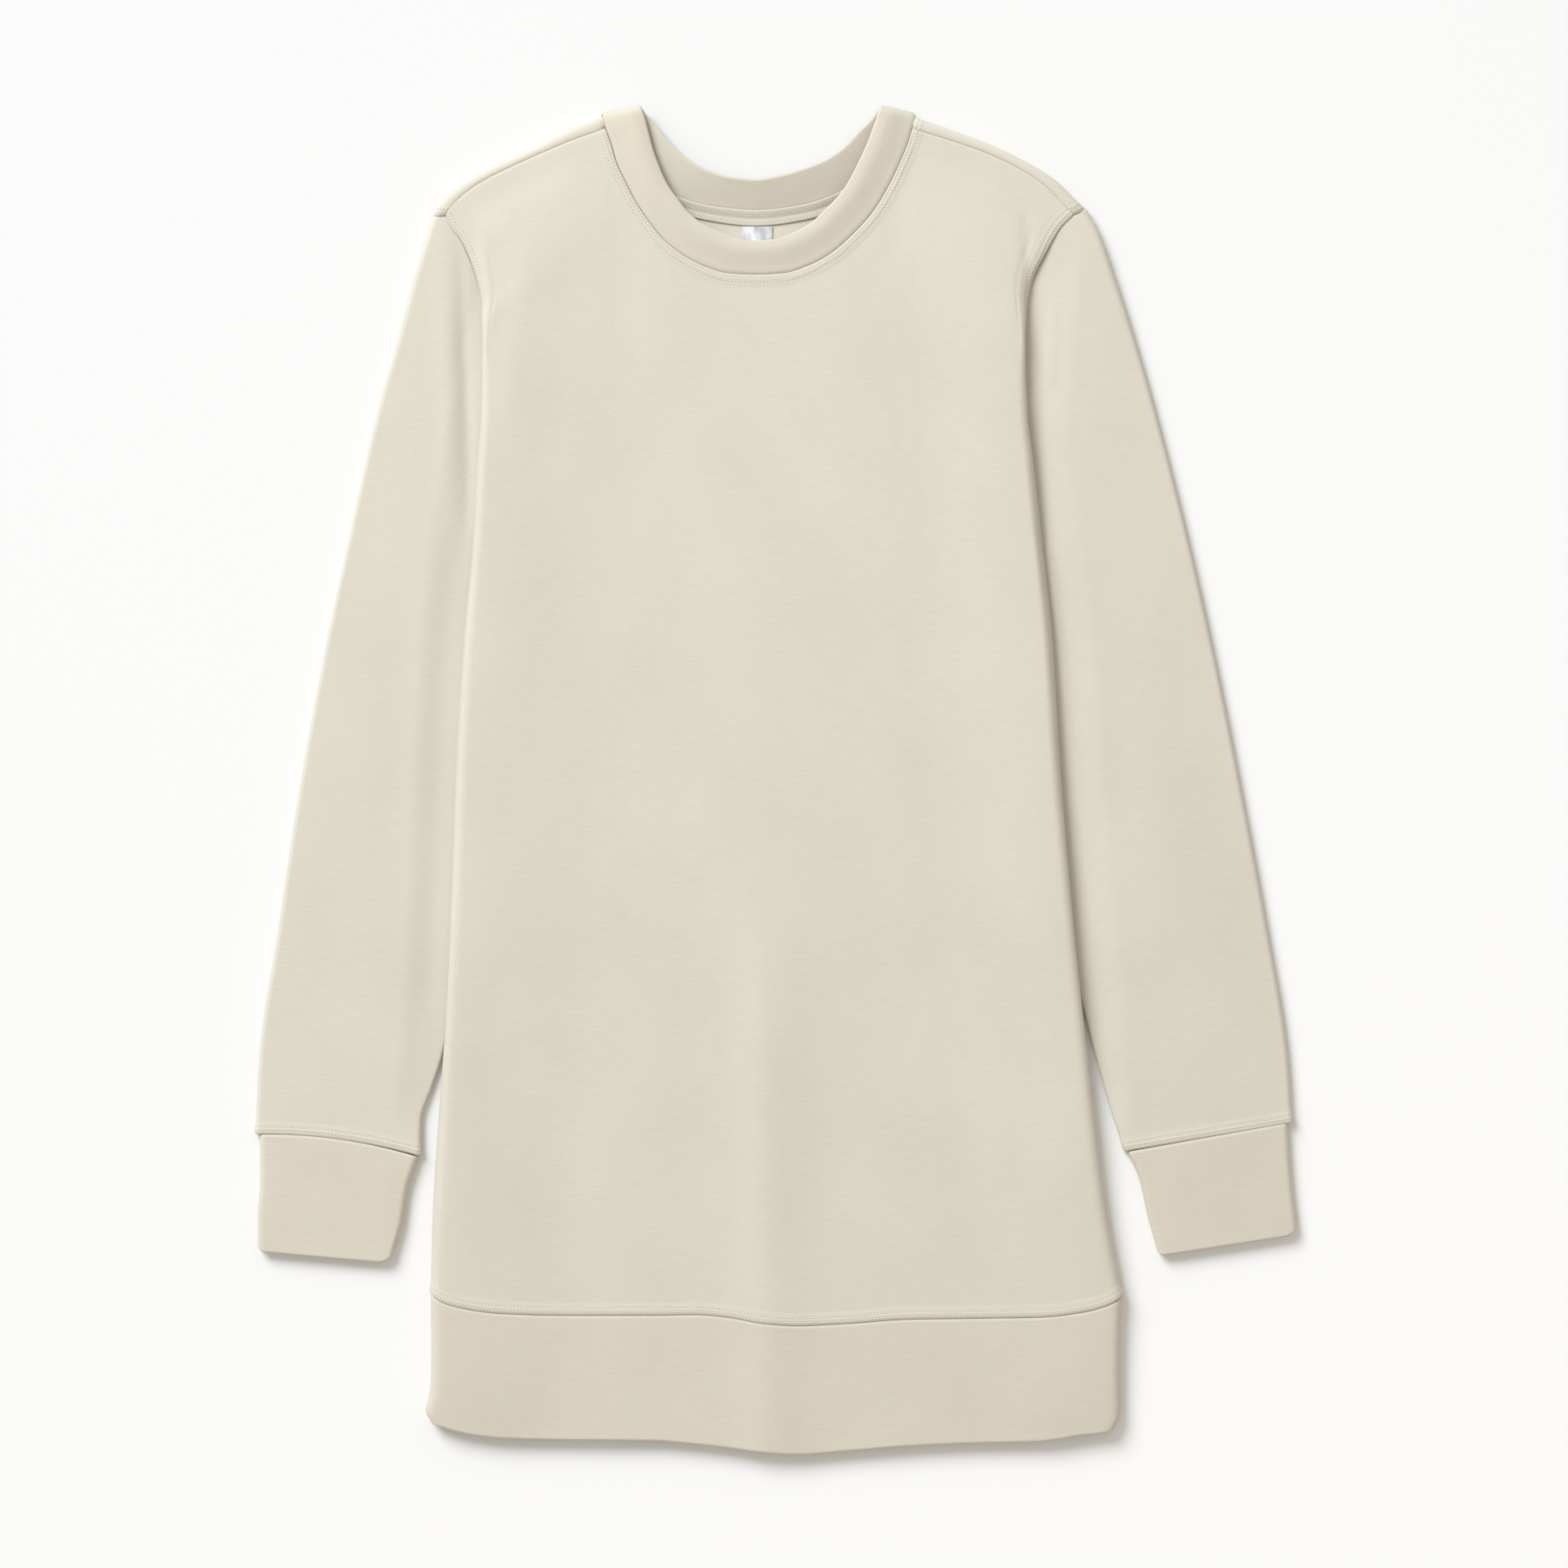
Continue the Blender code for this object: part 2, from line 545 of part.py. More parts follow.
def back_top():
    """The back panel's upper edge, column by column from the left armhole to the right one: its end
    points, the direction in which its cloth leaves for them, its turn and its straight run."""
    radius = (SHOULDER_TOP - CLOTH / 2) / 2
    ends, outwards, turns, runs = [], [], [], []
    back = neck_ring()[1]

    def shoulder(table, corner, side):
        points = [tuple(row) for row in table[:-1]] + [(corner[0], corner[1], table[-1].strip)]
        points = follow(points, SHOULDER_COLUMNS)
        along = np.gradient(points[:, :2], axis=0)
        along /= np.linalg.norm(along, axis=1)[:, None]
        outward = np.stack([side * along[:, 1], -side * along[:, 0]], axis=1)
        return points, outward * np.sign(outward[:, 1:])

    left, left_out = shoulder(LEFT_SHOULDER, back[0], -1)
    right, right_out = shoulder(RIGHT_SHOULDER, back[-1], 1)
    for points, out in ((left[:-1], left_out[:-1]), (None, None), (right[-2::-1], right_out[-2::-1])):
        if points is not None:
            ends.append(np.column_stack([points[:, :2], np.full(len(points), SHOULDER_TOP)]))
            outwards.append(out)
            turns.append(np.full(len(points), 180.0))
            runs.append(points[:, 2] - CLOTH / 2 - radius)
            continue
        low = back[:, 2].min()
        over = np.clip((back[:, 2] - low) / (back[:, 2].max() - low), 0.0, 1.0)
        height = CLOTH / 2 + BACK_NECK_RISE + (SHOULDER_TOP - CLOTH / 2 - BACK_NECK_RISE) * over
        into = back[:, 3:5] - back[:, :2]
        into /= np.linalg.norm(into, axis=1)[:, None]
        middle = len(back) // 2
        fold = np.where(np.arange(len(back))[:, None] < middle, left_out[-1], right_out[-1])
        out = fold * over[:, None] + into * (1.0 - over[:, None])
        inset = np.where(over < 0.99, SEAM_GAP, 0.0)[:, None]
        ends.append(np.column_stack([back[:, :2] - into * inset, height]))
        outwards.append(out / np.linalg.norm(out, axis=1)[:, None])
        whole, lead = np.hypot(radius, NECK_RUN), np.arctan2(NECK_RUN, radius)
        turn = np.arccos((radius - height + CLOTH / 2) / whole) - lead
        corner = over > 0.99
        turns.append(np.where(corner, 180.0, np.degrees(turn)))
        strip = LEFT_SHOULDER[-1].strip - CLOTH / 2 - radius
        runs.append(np.where(corner, strip, NECK_RUN))
    outward = np.column_stack([np.concatenate(outwards), np.zeros(sum(map(len, outwards)))])
    ends = np.concatenate(ends)
    over = np.concatenate(turns) > 179.0
    ends += outward * np.where(over, SEAM_GAP * 1.25, 0.0)[:, None]
    return ends, outward, np.concatenate(turns), np.concatenate(runs)


BACK_BENDS = 5


def back_panel():
    ends, outward, turn, run = back_top()
    rise = ends[:, 2] - CLOTH / 2
    strip = turned_edge(ends, outward, rise, turn, run, BACK_BENDS, 1)
    foot = strip[:, -1]
    up = np.array([*SIDE_ROWS, *ARMHOLE_ROWS[:-1], foot[0, 1]])
    left = front_seam(up, -1) + HIDDEN_GAP
    right = front_seam(up, 1) - HIDDEN_GAP
    left[-1], right[-1] = foot[0, 0], foot[-1, 0]
    share = (foot[:, 0] - foot[0, 0]) / (foot[-1, 0] - foot[0, 0])
    seam = SIDE_ROWS[0] + SEAM_GAP / 2
    progress = (up - up[0]) / (up[-1] - up[0])
    grid = np.zeros((len(up), len(share), 3))
    for i, part in enumerate(progress):
        x = left[i] + (right[i] - left[i]) * share
        y = seam + (foot[:, 1] - seam) * part
        grid[i] = np.stack([x, y, np.full_like(x, CLOTH / 2)], axis=1)
    whole = np.concatenate([grid[:-1], np.swapaxes(strip[:, ::-1], 0, 1)])
    return sheet_solid("back_panel", whole, CLOTH, CREAM_SHADE)


# ---------------------------------------------------------------- the hem


HEM_RUNS = 2


def hem_band_front():
    reach = column(HEM_SIDE, "reach")
    top, tuck = column(HEM_SIDE, "top"), column(HEM_SIDE, "tuck")
    strips = []
    for side, name in ((-1, "left"), (1, "right")):
        radius = (top - tuck) / 2
        out = column(HEM_SIDE, name) - side * BAND / 2
        end = np.stack([out - side * (radius + HEM_TUCK), 0 * reach, tuck], axis=1)
        outward = np.stack([side + 0 * reach, 0 * reach, 0 * reach], axis=1)
        turn, run = np.full(len(reach), 180.0), np.full(len(reach), HEM_TUCK)
        strips.append(turned_edge(end, outward, tuck - top, turn, run, SIDE_BENDS, HEM_RUNS))
    left, right = strips
    share = front_columns()
    x = left[:, -1:, 0] + (right[:, -1:, 0] - left[:, -1:, 0]) * share
    x = np.concatenate([left[:, :-1, 0], x, right[:, ::-1, 0][:, 1:]], axis=1)
    z = np.concatenate([left[:, :-1, 2], 0 * x[:, : len(share)], right[:, ::-1, 2][:, 1:]], axis=1)
    wrap = SIDE_BENDS + HEM_RUNS
    over = np.ones(x.shape[1], bool)
    over[: HEM_RUNS + SIDE_BENDS // 2 + 1] = False
    over[::-1][: HEM_RUNS + SIDE_BENDS // 2 + 1] = False
    limit = column(HEM, "x")
    plan = np.where(over, x, np.where(x < 0, limit.min(), limit.max()))
    seam, edge = smooth(HEM, "x", "seam", plan), smooth(HEM, "x", "edge", plan)
    y = seam + (edge - seam) * reach[:, None] - SEAM_GAP / 2
    flat = slice(wrap, wrap + len(share))
    for i in range(len(reach)):
        folds = left[i, -1, 0], right[i, -1, 0]
        z[i, flat] = front_height(x[i, flat], y[i, flat], *folds, top[i])
    grid = np.stack([x, y, z], axis=2)
    return sheet_solid("hem_band_front", rounded(grid), rounding(grid, BAND), CREAM_SHADE)


def hem_band_back():
    """The back's hem band, flat on the surface between the side seams."""
    inset = BAND / 2 + (column(HEM_SIDE, "top") - column(HEM_SIDE, "tuck")) / 2 + HEM_TUCK + SEAM_GAP
    left, right = column(HEM_SIDE, "left") + inset, column(HEM_SIDE, "right") - inset
    x = left[:, None] + (right - left)[:, None] * np.linspace(0.0, 1.0, 13)
    seam = SIDE_ROWS[0] - SEAM_GAP / 2
    edge = smooth(HEM, "x", "edge", x) + BACK_HEM_SHORTER
    y = seam + (edge - seam) * column(HEM_SIDE, "reach")[:, None]
    grid = np.stack([x, y, np.full_like(y, BAND / 2)], axis=2)
    return sheet_solid("hem_band_back", rounded(grid), rounding(grid, BAND), CREAM_SHADE)


def rounded(grid):
    """Adds the row from which a doubled band rounds off towards its folded edge."""
    last, before = grid[-1], grid[-2]
    step = np.linalg.norm(last - before, axis=1, keepdims=True)
    extra = last + (before - last) * (CUFF_ROUNDING / step)
    return np.concatenate([grid[:-1], extra[None], last[None]])


def rounding(grid, thickness):
    """Thickness of a doubled band's rows, thin at its folded edge."""
    rows = np.full(len(grid) + 1, thickness)
    rows[-1] = thickness * 0.45
    return rows[:, None]


# ---------------------------------------------------------------- sleeves and cuffs


TUBE_EDGE = [0.0, 30.0, 60.0, 90.0]  # degrees round the rounded edges of a flat tube


def flat_tube(outer, inner, shares, height, floor):
    """Rings of a flattened tube. outer and inner are its edges in plan, one row for each ring, shares
    the places across it of its inner points, and height(share, ring) the distance between the middles
    of its two layers, of which the lower one is at floor."""
    bend = 1.0 - np.cos(np.radians(TUBE_EDGE))
    rings = []
    for i, (a, b) in enumerate(zip(outer, inner, strict=True)):
        width = np.linalg.norm(b - a)
        near = [bend * height(np.array([s]), i)[0] / 2 / width for s in (0.0, 1.0)]
        share = np.concatenate([near[0], shares, 1.0 - near[1][::-1]])
        half = height(share, i) / 2
        edge = np.ones_like(share)
        edge[: len(bend)] = np.sin(np.radians(TUBE_EDGE))
        edge[-len(bend) :] = np.sin(np.radians(TUBE_EDGE))[::-1]
        edge[0] = edge[-1] = 0.0
        upper = np.column_stack([share, floor + half + half * edge])
        lower = np.column_stack([share, floor + half - half * edge])
        rings.append(np.concatenate([upper, lower[-2:0:-1]]))
    return np.array(rings)


def sleeve(side):
    word = "left" if side < 0 else "right"
    outer_table, inner_table = (
        (LEFT_SLEEVE_OUTER, LEFT_SLEEVE_INNER) if side < 0 else (RIGHT_SLEEVE_OUTER, RIGHT_SLEEVE_INNER)
    )
    up = np.array([0.0, 0.07, 0.16, 0.26, 0.36, 0.46, 0.56, 0.66, 0.75, 0.83, 0.9, 0.95, 0.98, 1.0])
    ends = [(table[-1].y, table[0].y) for table in (outer_table, inner_table)]
    lines = []
    for table, (low, high), sign in ((outer_table, ends[0], -1), (inner_table, ends[1], 1)):
        y = low + (high - low) * up
        lines.append(np.column_stack([smooth(table, "y", "x", y) + side * sign * CLOTH / 2, y]))
    outer, inner = lines
    top_y = outer_table[0].y
    levels = np.array(ARMHOLE_ROWS[::-1])
    shares = ((top_y - levels) / (top_y - ARMHOLE_ROWS[0]))[:-1]

    def height(share, ring):
        plan = outer[ring] + (inner[ring] - outer[ring]) * share[:, None]
        name = "left" if side < 0 else "right"
        body = smooth(BODY_SIDE, "y", name, plan[:, 1])
        clear = side * (plan[:, 0] - body) - SLEEVE_LIFT_OFF
        free = ease(clear / SLEEVE_RISE)
        free += (1.0 - free) * ease(1.0 - up[ring] / 0.1)
        crown = SLEEVE_CROWN * np.sin(pi * np.clip(share, 0.0, 1.0))
        usual = SLEEVE_PRESSED + (SLEEVE_OPEN + crown - SLEEVE_PRESSED) * free
        at = top_y + (ARMHOLE_ROWS[0] - top_y) * share
        cap = smooth(SLEEVE_CAP, "y", "height", at) - CLOTH / 2
        return usual + (cap - usual) * ease((up[ring] - 0.8) / 0.2)

    rings = flat_tube(outer, inner, shares, height, CLOTH / 2)
    share = rings[:, :, 0]
    plan = outer[:, None] + (inner - outer)[:, None] * share[:, :, None]
    chord = outer[-1] + (inner[-1] - outer[-1]) * share[-1][:, None]
    at = np.clip(top_y + (ARMHOLE_ROWS[0] - top_y) * share[-1], ARMHOLE_ROWS[0], ARMHOLE_TOP)
    seam = np.column_stack([front_seam(at, side) + side * SEAM_GAP / 2, at])
    tip = ease((at - 338.0) / 10.0)[:, None]
    seam = seam * (1 - tip) + chord * tip
    plan += (seam - chord) * ease((up - 0.62) / 0.38)[:, None, None]
    if side < 0:
        bow = LEFT_SEAM_BOW * 4 * share * (1 - share)
        plan[:, :, 1] += bow * ease(1.0 - up / 0.25)[:, None]
    grid = np.dstack([plan, rings[:, :, 1]])
    return sheet_solid("sleeve_" + word, np.swapaxes(grid, 0, 1), CLOTH, CREAM, closed=True)


def cuff(side):
    word = "left" if side < 0 else "right"
    outer_table, inner_table = (
        (LEFT_CUFF_OUTER, LEFT_CUFF_INNER) if side < 0 else (RIGHT_CUFF_OUTER, RIGHT_CUFF_INNER)
    )
    down = np.array([0.0, 0.3, 0.65, 1.0])
    lines = []
    for table, sign in ((outer_table, -1), (inner_table, 1)):
        y = table[0].y + (table[-1].y - table[0].y) * down
        lines.append(np.column_stack([smooth(table, "y", "x", y) + side * sign * CUFF / 2, y]))
    outer, inner = lines
    shares = np.linspace(0.0, 1.0, 8)[1:-1]

    def height(share, ring):
        return CUFF_OPEN + SLEEVE_CROWN * np.sin(pi * np.clip(share, 0.0, 1.0))

    rings = flat_tube(outer, inner, shares, height, CUFF / 2)
    share = rings[:, :, 0]
    plan = outer[:, None] + (inner - outer)[:, None] * share[:, :, None]
    if side < 0:
        plan[:, :, 1] += LEFT_SEAM_BOW * 4 * share * (1 - share) * ease(1.0 - down / 0.6)[:, None]
    grid = rounded(np.dstack([plan, rings[:, :, 1]]))
    thickness = rounding(grid[:-1], CUFF).T
    return sheet_solid(
        "cuff_" + word, np.swapaxes(grid, 0, 1), thickness, CREAM_SHADE, closed=True
    )


# ---------------------------------------------------------------- the neck


BAND_ACROSS = [0.0, 0.2, 0.5, 0.8, 0.93, 1.0]  # places across the neckband, from its seam


def band_points(sections, across):
    """Points of the neckband's middle surface at each section, from its seam to its free edge."""
    seam, edge = sections[:, :3].copy(), sections[:, 3:]
    into = edge - seam
    into /= np.linalg.norm(into, axis=1)[:, None]
    seam += into * SEAM_GAP
    across = np.asarray(across, float)[None, :, None]
    points = seam[:, None] + (edge - seam)[:, None] * across
    front = ease((sections[:, 2] - 6.0) / 2.5)[:, None]
    points[:, :, 2] += BAND_CROWN * front * np.sin(pi * across[:, :, 0] ** 0.8)
    return points


def neckband():
    front, back = neck_ring()
    sections = np.concatenate([front[:-1], back[:-1]])
    grid = band_points(sections, BAND_ACROSS)
    thickness = np.array([BAND * 0.8, BAND, BAND, BAND, BAND * 0.85, BAND * 0.4])[None, :]
    return sheet_solid("neckband", grid, thickness, CREAM_SHADE, closed=True)


def back_neck_tape():
    """The tape over the back neck's seam: partly on the neckband and partly on the back panel, made
    from their points and lifted off them."""
    sections = neck_ring()[1]
    sections = sections[(sections[:, 2] < 1.9)]
    into = sections[:, 3:] - sections[:, :3]
    into /= np.linalg.norm(into, axis=1)[:, None]
    columns = []
    for reach in (-NECK_TAPE_ON_BACK, -NECK_TAPE_ON_BACK / 2, -1.5, NECK_TAPE_ON_BAND):
        point = sections[:, :3] + into * reach
        if reach < -2:
            point[:, 2] = CLOTH + SEAM_GAP + TAPE / 2
        else:
            point[:, 2] += BAND / 2 + SEAM_GAP + TAPE / 2 + 0.1
        columns.append(point)
    return sheet_solid("back_neck_tape", np.stack(columns, axis=1), TAPE, CREAM_SHADE)


def label():
    """The bare woven label that hangs from the tape, inside the back."""
    x = LABEL_X + LABEL_WIDTH * np.array([-0.5, 0.0, 0.5])
    top = smooth_neck(x) - NECK_TAPE_ON_BACK - SEAM_GAP
    down = np.array([0.0, 0.5, 1.0])[:, None]
    y = top.mean() - LABEL_HEIGHT * down + 0 * x
    z = np.full_like(y, CLOTH + SEAM_GAP + LABEL / 2)
    grid = np.stack([x + 0 * y, y, z], axis=2)
    return sheet_solid("label", grid, LABEL, SATIN, roughness=0.35)


def smooth_neck(x):
    """The back neck seam's height up the garment at a place across it."""
    back = neck_ring()[1]
    return np.interp(x, back[:, 0], back[:, 1])


def build():
    for old in list(bpy.data.objects):
        bpy.data.objects.remove(old)
    front_panel()
    back_panel()
    hem_band_front()
    hem_band_back()
    for side in (-1, 1):
        sleeve(side)
        cuff(side)
    neckband()
    back_neck_tape()
    label()


build()
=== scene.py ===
from collections import namedtuple

import bpy
import numpy as np
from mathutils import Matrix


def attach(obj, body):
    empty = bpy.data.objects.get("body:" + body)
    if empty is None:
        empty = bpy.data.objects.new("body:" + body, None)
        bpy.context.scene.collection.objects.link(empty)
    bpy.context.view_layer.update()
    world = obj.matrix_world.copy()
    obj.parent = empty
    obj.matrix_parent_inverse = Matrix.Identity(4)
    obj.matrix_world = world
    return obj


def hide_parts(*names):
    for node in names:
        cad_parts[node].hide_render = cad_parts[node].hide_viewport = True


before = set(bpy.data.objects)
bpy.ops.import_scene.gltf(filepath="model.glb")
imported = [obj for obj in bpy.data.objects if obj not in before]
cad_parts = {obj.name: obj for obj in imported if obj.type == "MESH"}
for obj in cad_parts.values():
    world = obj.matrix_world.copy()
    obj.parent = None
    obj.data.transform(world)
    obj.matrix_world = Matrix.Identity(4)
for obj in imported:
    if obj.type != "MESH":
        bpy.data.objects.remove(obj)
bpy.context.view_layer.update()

mm = 0.001  # sizes and tables below are in millimetres: x to the viewer's right, y to the neck, z up

# How thick each kind of cloth is, and how far sewn pieces stay apart.
cloth = {"panel": 1.6, "band": 2.6, "cuff": 2.4, "tape": 0.8, "label": 0.6, "gap": 0.4, "rim": 0.19}

# A two-needle seam: the panel's edge rolls over at the seam line, its allowance lies beneath in a low
# ridge, and two rows of stitches pull it down.
seam = {
    "edgeRoll": 0.9, "edgeDrop": 0.5, "ridge": 0.65, "level": 3.0, "allowance": 8.5,
    "rows": (1.8, 4.65), "furrow": 0.42, "furrowWidth": 0.5, "grooveWidth": 1.3, "groove": 0.35,
}

# The pattern's tables, the same as the solids'. The left side is -1 and the right side is 1.


def tableOf(columns, *rows):  # rows of numbers, whose columns have these names
    row = namedtuple("row", columns)
    return [row(*numbers) for numbers in rows]


# The folded sides, from the hem up to the shoulder.
bodySide = tableOf(
    "y left right turn run top tuck seam",
    (-316, -213.5, 213.5, 180, 20, 11.6, 0.9, 0.8), (-265, -212, 203.5, 180, 21, 12.2, 1, 0.8),
    (-210, -208.5, 196.5, 180, 22.5, 12.9, 2.2, 0.8), (-150, -204.3, 189.5, 180, 25, 13.4, 5, 0.8),
    (-70, -200.5, 181.5, 180, 30, 13.8, 5.4, 0.8), (10, -197.5, 174.5, 180, 38, 13.8, 5.4, 0.8),
    (90, -193, 169.5, 180, 48, 13.8, 5.4, 0.9), (130, -189.5, 165.5, 180, 53, 13.8, 5.4, 2.6),
    (148, -188, 163.4, 180, 51, 13.8, 5.4, 5.4), (160, -187, 162, 180, 44.5, 13.8, 5.4, 5.4),
    (200, -184.3, 157.7, 180, 34.5, 13.7, 5.4, 5.4), (230, -182, 154.5, 180, 22.5, 13.6, 5.4, 5.4),
    (255, -181.3, 153.3, 176, 10.5, 13.3, 5.4, 5.4), (280, -181.1, 153.2, 135, 2.4, 12.9, 5.2, 5.2),
    (294, -181, 154, 92, 1.5, 12.4, 5, 5), (304, -183, 156, 66, 1.5, 12, 5.7, 5.7),
    (313, -186, 159.5, 46, 1.6, 11.4, 6.4, 6.4), (323, -190, 165, 28, 1.8, 10.6, 7.2, 7.2),
    (333, -195, 170.5, 15, 2, 9.7, 7.8, 7.8), (340, -200.5, 175, 9, 2, 9, 8, 8),
    (348, -204, 183, 4, 2, 8.7, 8.2, 8.2),
)

# The shoulder seams from the armhole to the neck, and how much of the back shows behind each.
leftShoulder = tableOf(
    "x y strip",
    (-204, 347.8, 8), (-200, 353.3, 7.2), (-194.5, 359.3, 6.6), (-182, 368.3, 5.8), (-164.5, 377.3, 5.6),
    (-144.5, 386.3, 6), (-123, 395.3, 7.4), (-106.5, 401.6, 8),
)
rightShoulder = tableOf(
    "x y strip",
    (183, 348.3, 8), (177.5, 353.5, 7.6), (169.5, 362.3, 7.2), (162.5, 368.3, 6.6), (148, 377.3, 6),
    (129, 386.3, 6), (103, 395.3, 6.6), (85, 401.6, 7.6),
)

# The neckband from the front's middle round by the left shoulder: its seam and its folded edge.
neckRows = tableOf(
    "seamX seamY seamZ edgeX edgeY edgeZ",
    (-13, 311.2, 8.5, -12, 331.8, 9.8), (-30.5, 312.2, 8.5, -26, 333.8, 9.8),
    (-44, 316.2, 8.5, -36.5, 337.8, 9.9), (-57.5, 323.2, 8.5, -45.5, 342.2, 10),
    (-69.5, 332.8, 8.5, -54, 348.8, 10.1), (-78.5, 343.8, 8.5, -60.5, 356.8, 10.2),
    (-86.5, 355.8, 8.5, -67.5, 366.8, 10.3), (-93.5, 369.2, 8.5, -73, 379.2, 10.4),
    (-99, 381.2, 8.5, -76.5, 389.2, 10.5), (-102, 391.8, 8.5, -79, 398.8, 10.6),
    (-105.5, 401.2, 8.5, -81, 406.8, 10.7), (-107, 407.2, 7.8, -82.8, 412.4, 10.6),
    (-107.5, 410.2, 5.4, -83.5, 414.6, 8.8), (-106.5, 407, 3, -82.3, 412.6, 6.9),
    (-102.5, 398, 1.8, -78, 407, 6.4), (-96, 385.2, 1.6, -71, 398.8, 6.6),
    (-86, 373.8, 1.6, -62.5, 389.2, 7), (-73.5, 364.2, 1.6, -53.5, 381.8, 7.4),
    (-58.5, 357.2, 1.6, -43, 375.8, 7.8), (-38.5, 352.2, 1.6, -28.5, 371.6, 8),
    (-13, 349.8, 1.6, -13, 370.2, 8), (14, 352.8, 1.6, 4, 373.2, 8), (34, 358.8, 1.6, 20, 378.2, 7.8),
    (49, 367.2, 1.6, 32.5, 383.8, 7.4), (61.5, 377.2, 1.6, 42.5, 391.2, 7),
    (71.5, 387.8, 1.6, 50.5, 399.8, 6.6), (80, 398.8, 1.8, 58, 407.2, 6.4), (84, 407, 3, 62.5, 413, 6.9),
    (85, 410.2, 5.4, 64, 414.6, 8.8), (85, 407.2, 7.8, 63, 412.2, 10.6),
    (83.5, 401.2, 8.5, 61.5, 406.8, 10.7), (81, 392.8, 8.5, 59, 400.2, 10.6),
    (78, 385.2, 8.5, 56, 392.2, 10.5), (70, 367.8, 8.5, 49.5, 378.2, 10.4),
    (59.5, 350.2, 8.5, 41.2, 363.4, 10.2), (47, 336.2, 8.5, 31, 352, 10.1),
    (34, 324.8, 8.5, 21, 342.8, 10), (20.5, 317.2, 8.5, 11.5, 337.4, 9.9),
    (4.5, 312.2, 8.5, 0.5, 333.2, 9.8),
)
leftCorner, rightCorner = 10, 30  # the rows at the shoulder seams

# The outlines of the sleeves and cuffs in plan.
sleeveOuter = {
    -1: tableOf(
        "x y",
        (-212.5, 347.2), (-215.5, 338.2), (-224, 310.2), (-234.5, 270.2), (-246, 230.2), (-264, 150.2),
        (-281, 70.2), (-295.5, -9.8), (-307.5, -89.8), (-319.5, -169.8), (-322, -218.8),
    ),
    1: tableOf(
        "x y",
        (191, 352.2), (198.5, 338.2), (208.5, 310.2), (221.5, 270.2), (233, 230.2), (253.5, 150.2),
        (271.5, 70.2), (287.5, -9.8), (302.5, -89.8), (315.5, -169.8), (318.5, -211.8),
    ),
}
sleeveInner = {
    -1: tableOf(
        "x y",
        (-138, 160), (-158, 70), (-181, -49.8), (-206, -169.8), (-212.5, -189.8), (-219, -209.8),
        (-219.5, -232.2),
    ),
    1: tableOf(
        "x y",
        (113, 160), (134, 70), (165, -49.8), (196.5, -169.8), (202, -189.8), (208, -209.8),
        (214.5, -229.2),
    ),
}
cuffOuter = {
    -1: tableOf(
        "x y",
        (-319, -219.4), (-319, -249.8), (-320.5, -269.8), (-320.5, -291.2),
    ),
    1: tableOf(
        "x y",
        (315.5, -212.6), (316.8, -234.8), (319, -259.8), (321.3, -281),
    ),
}
cuffInner = {
    -1: tableOf(
        "x y",
        (-221.5, -233.6), (-227.5, -252.2), (-231, -274.8), (-236.5, -298.4),
    ),
    1: tableOf(
        "x y",
        (216.5, -229.4), (224, -247.2), (229, -269.8), (235, -293.8),
    ),
}

# The height of the sleeve's upper layer along its armhole seam.
sleeveCap = tableOf(
    "y height",
    (160, 3.4), (230, 3.4), (280, 3.4), (294, 3.6), (304, 4.6), (313, 5.6), (323, 6.6), (333, 7.4),
    (340, 7.7), (352, 7.8),
)

# The hem's seam and its folded edge, from left to right.
hemRows = tableOf(
    "x seam edge",
    (-214, -316, -395.8), (-206, -322, -398.8), (-190, -326.4, -403), (-170, -329, -405.6),
    (-130, -330.4, -406.8), (-78, -330.4, -407.3), (-50, -330, -409.5), (-28.5, -331.8, -411.8),
    (-8.5, -335.2, -414.4), (14, -336.8, -415.8), (41.5, -335.6, -413.8), (81.5, -332.8, -410.6),
    (121.5, -332.2, -408.8), (161.5, -331.4, -407.7), (188, -328.2, -403.8), (204, -323.8, -401.8),
    (213.5, -318, -396.5),
)

# The hem band's folded sides, from its seam down to its edge.
hemSides = tableOf(
    "reach left right top tuck",
    (0, -213.5, 213, 11.8, 1.5), (0.4, -213, 212, 11.4, 1.5), (0.8, -213.6, 211.8, 10.6, 1.5),
    (1, -215, 211, 9.6, 1.5),
)

# The height of the front's middle.
frontMiddle = tableOf(
    "y height",
    (-416, 8.5), (-330, 8.6), (-200, 8.8), (0, 8.8), (200, 8.8), (311, 8.5), (416, 8.5),
)

# Soft creases: a trough (depth below 0) or a ridge from one point to the other, bowed sideways in
# between, which fades in and out over its ends.
crease = "x0 y0 x1 y1 bow width depth"
creaseFade = 0.35  # the share of its run over which a crease fades at either end
frontCreases = tableOf(
    crease,
    (-12, 10, -12, -470, 1, 9, 0.3), (30, -40, 38, -470, -2, 22, -0.5),
    (-60, -120, -66, -460, 3, 26, -0.5), (-128, 340, -150, 150, 4, 15, -0.5),
    (-152, 350, -172, 210, 3, 10, 0.4), (108, 350, 122, 170, -4, 16, -0.45),
    (60, 120, 92, -180, 5, 34, 0.35), (-110, 90, -96, -200, -4, 38, 0.35),
    (140, -60, 168, -330, 4, 16, -0.35), (-168, -60, -178, -330, -3, 14, -0.35),
    (-70, -300, 70, -318, 2, 14, -0.25),
)
armpitCreases = tableOf(
    crease,
    (-182, 354, -176, 268, 0, 4, 0.7), (152, 362, 157, 272, 0, 3.6, -0.9),
)
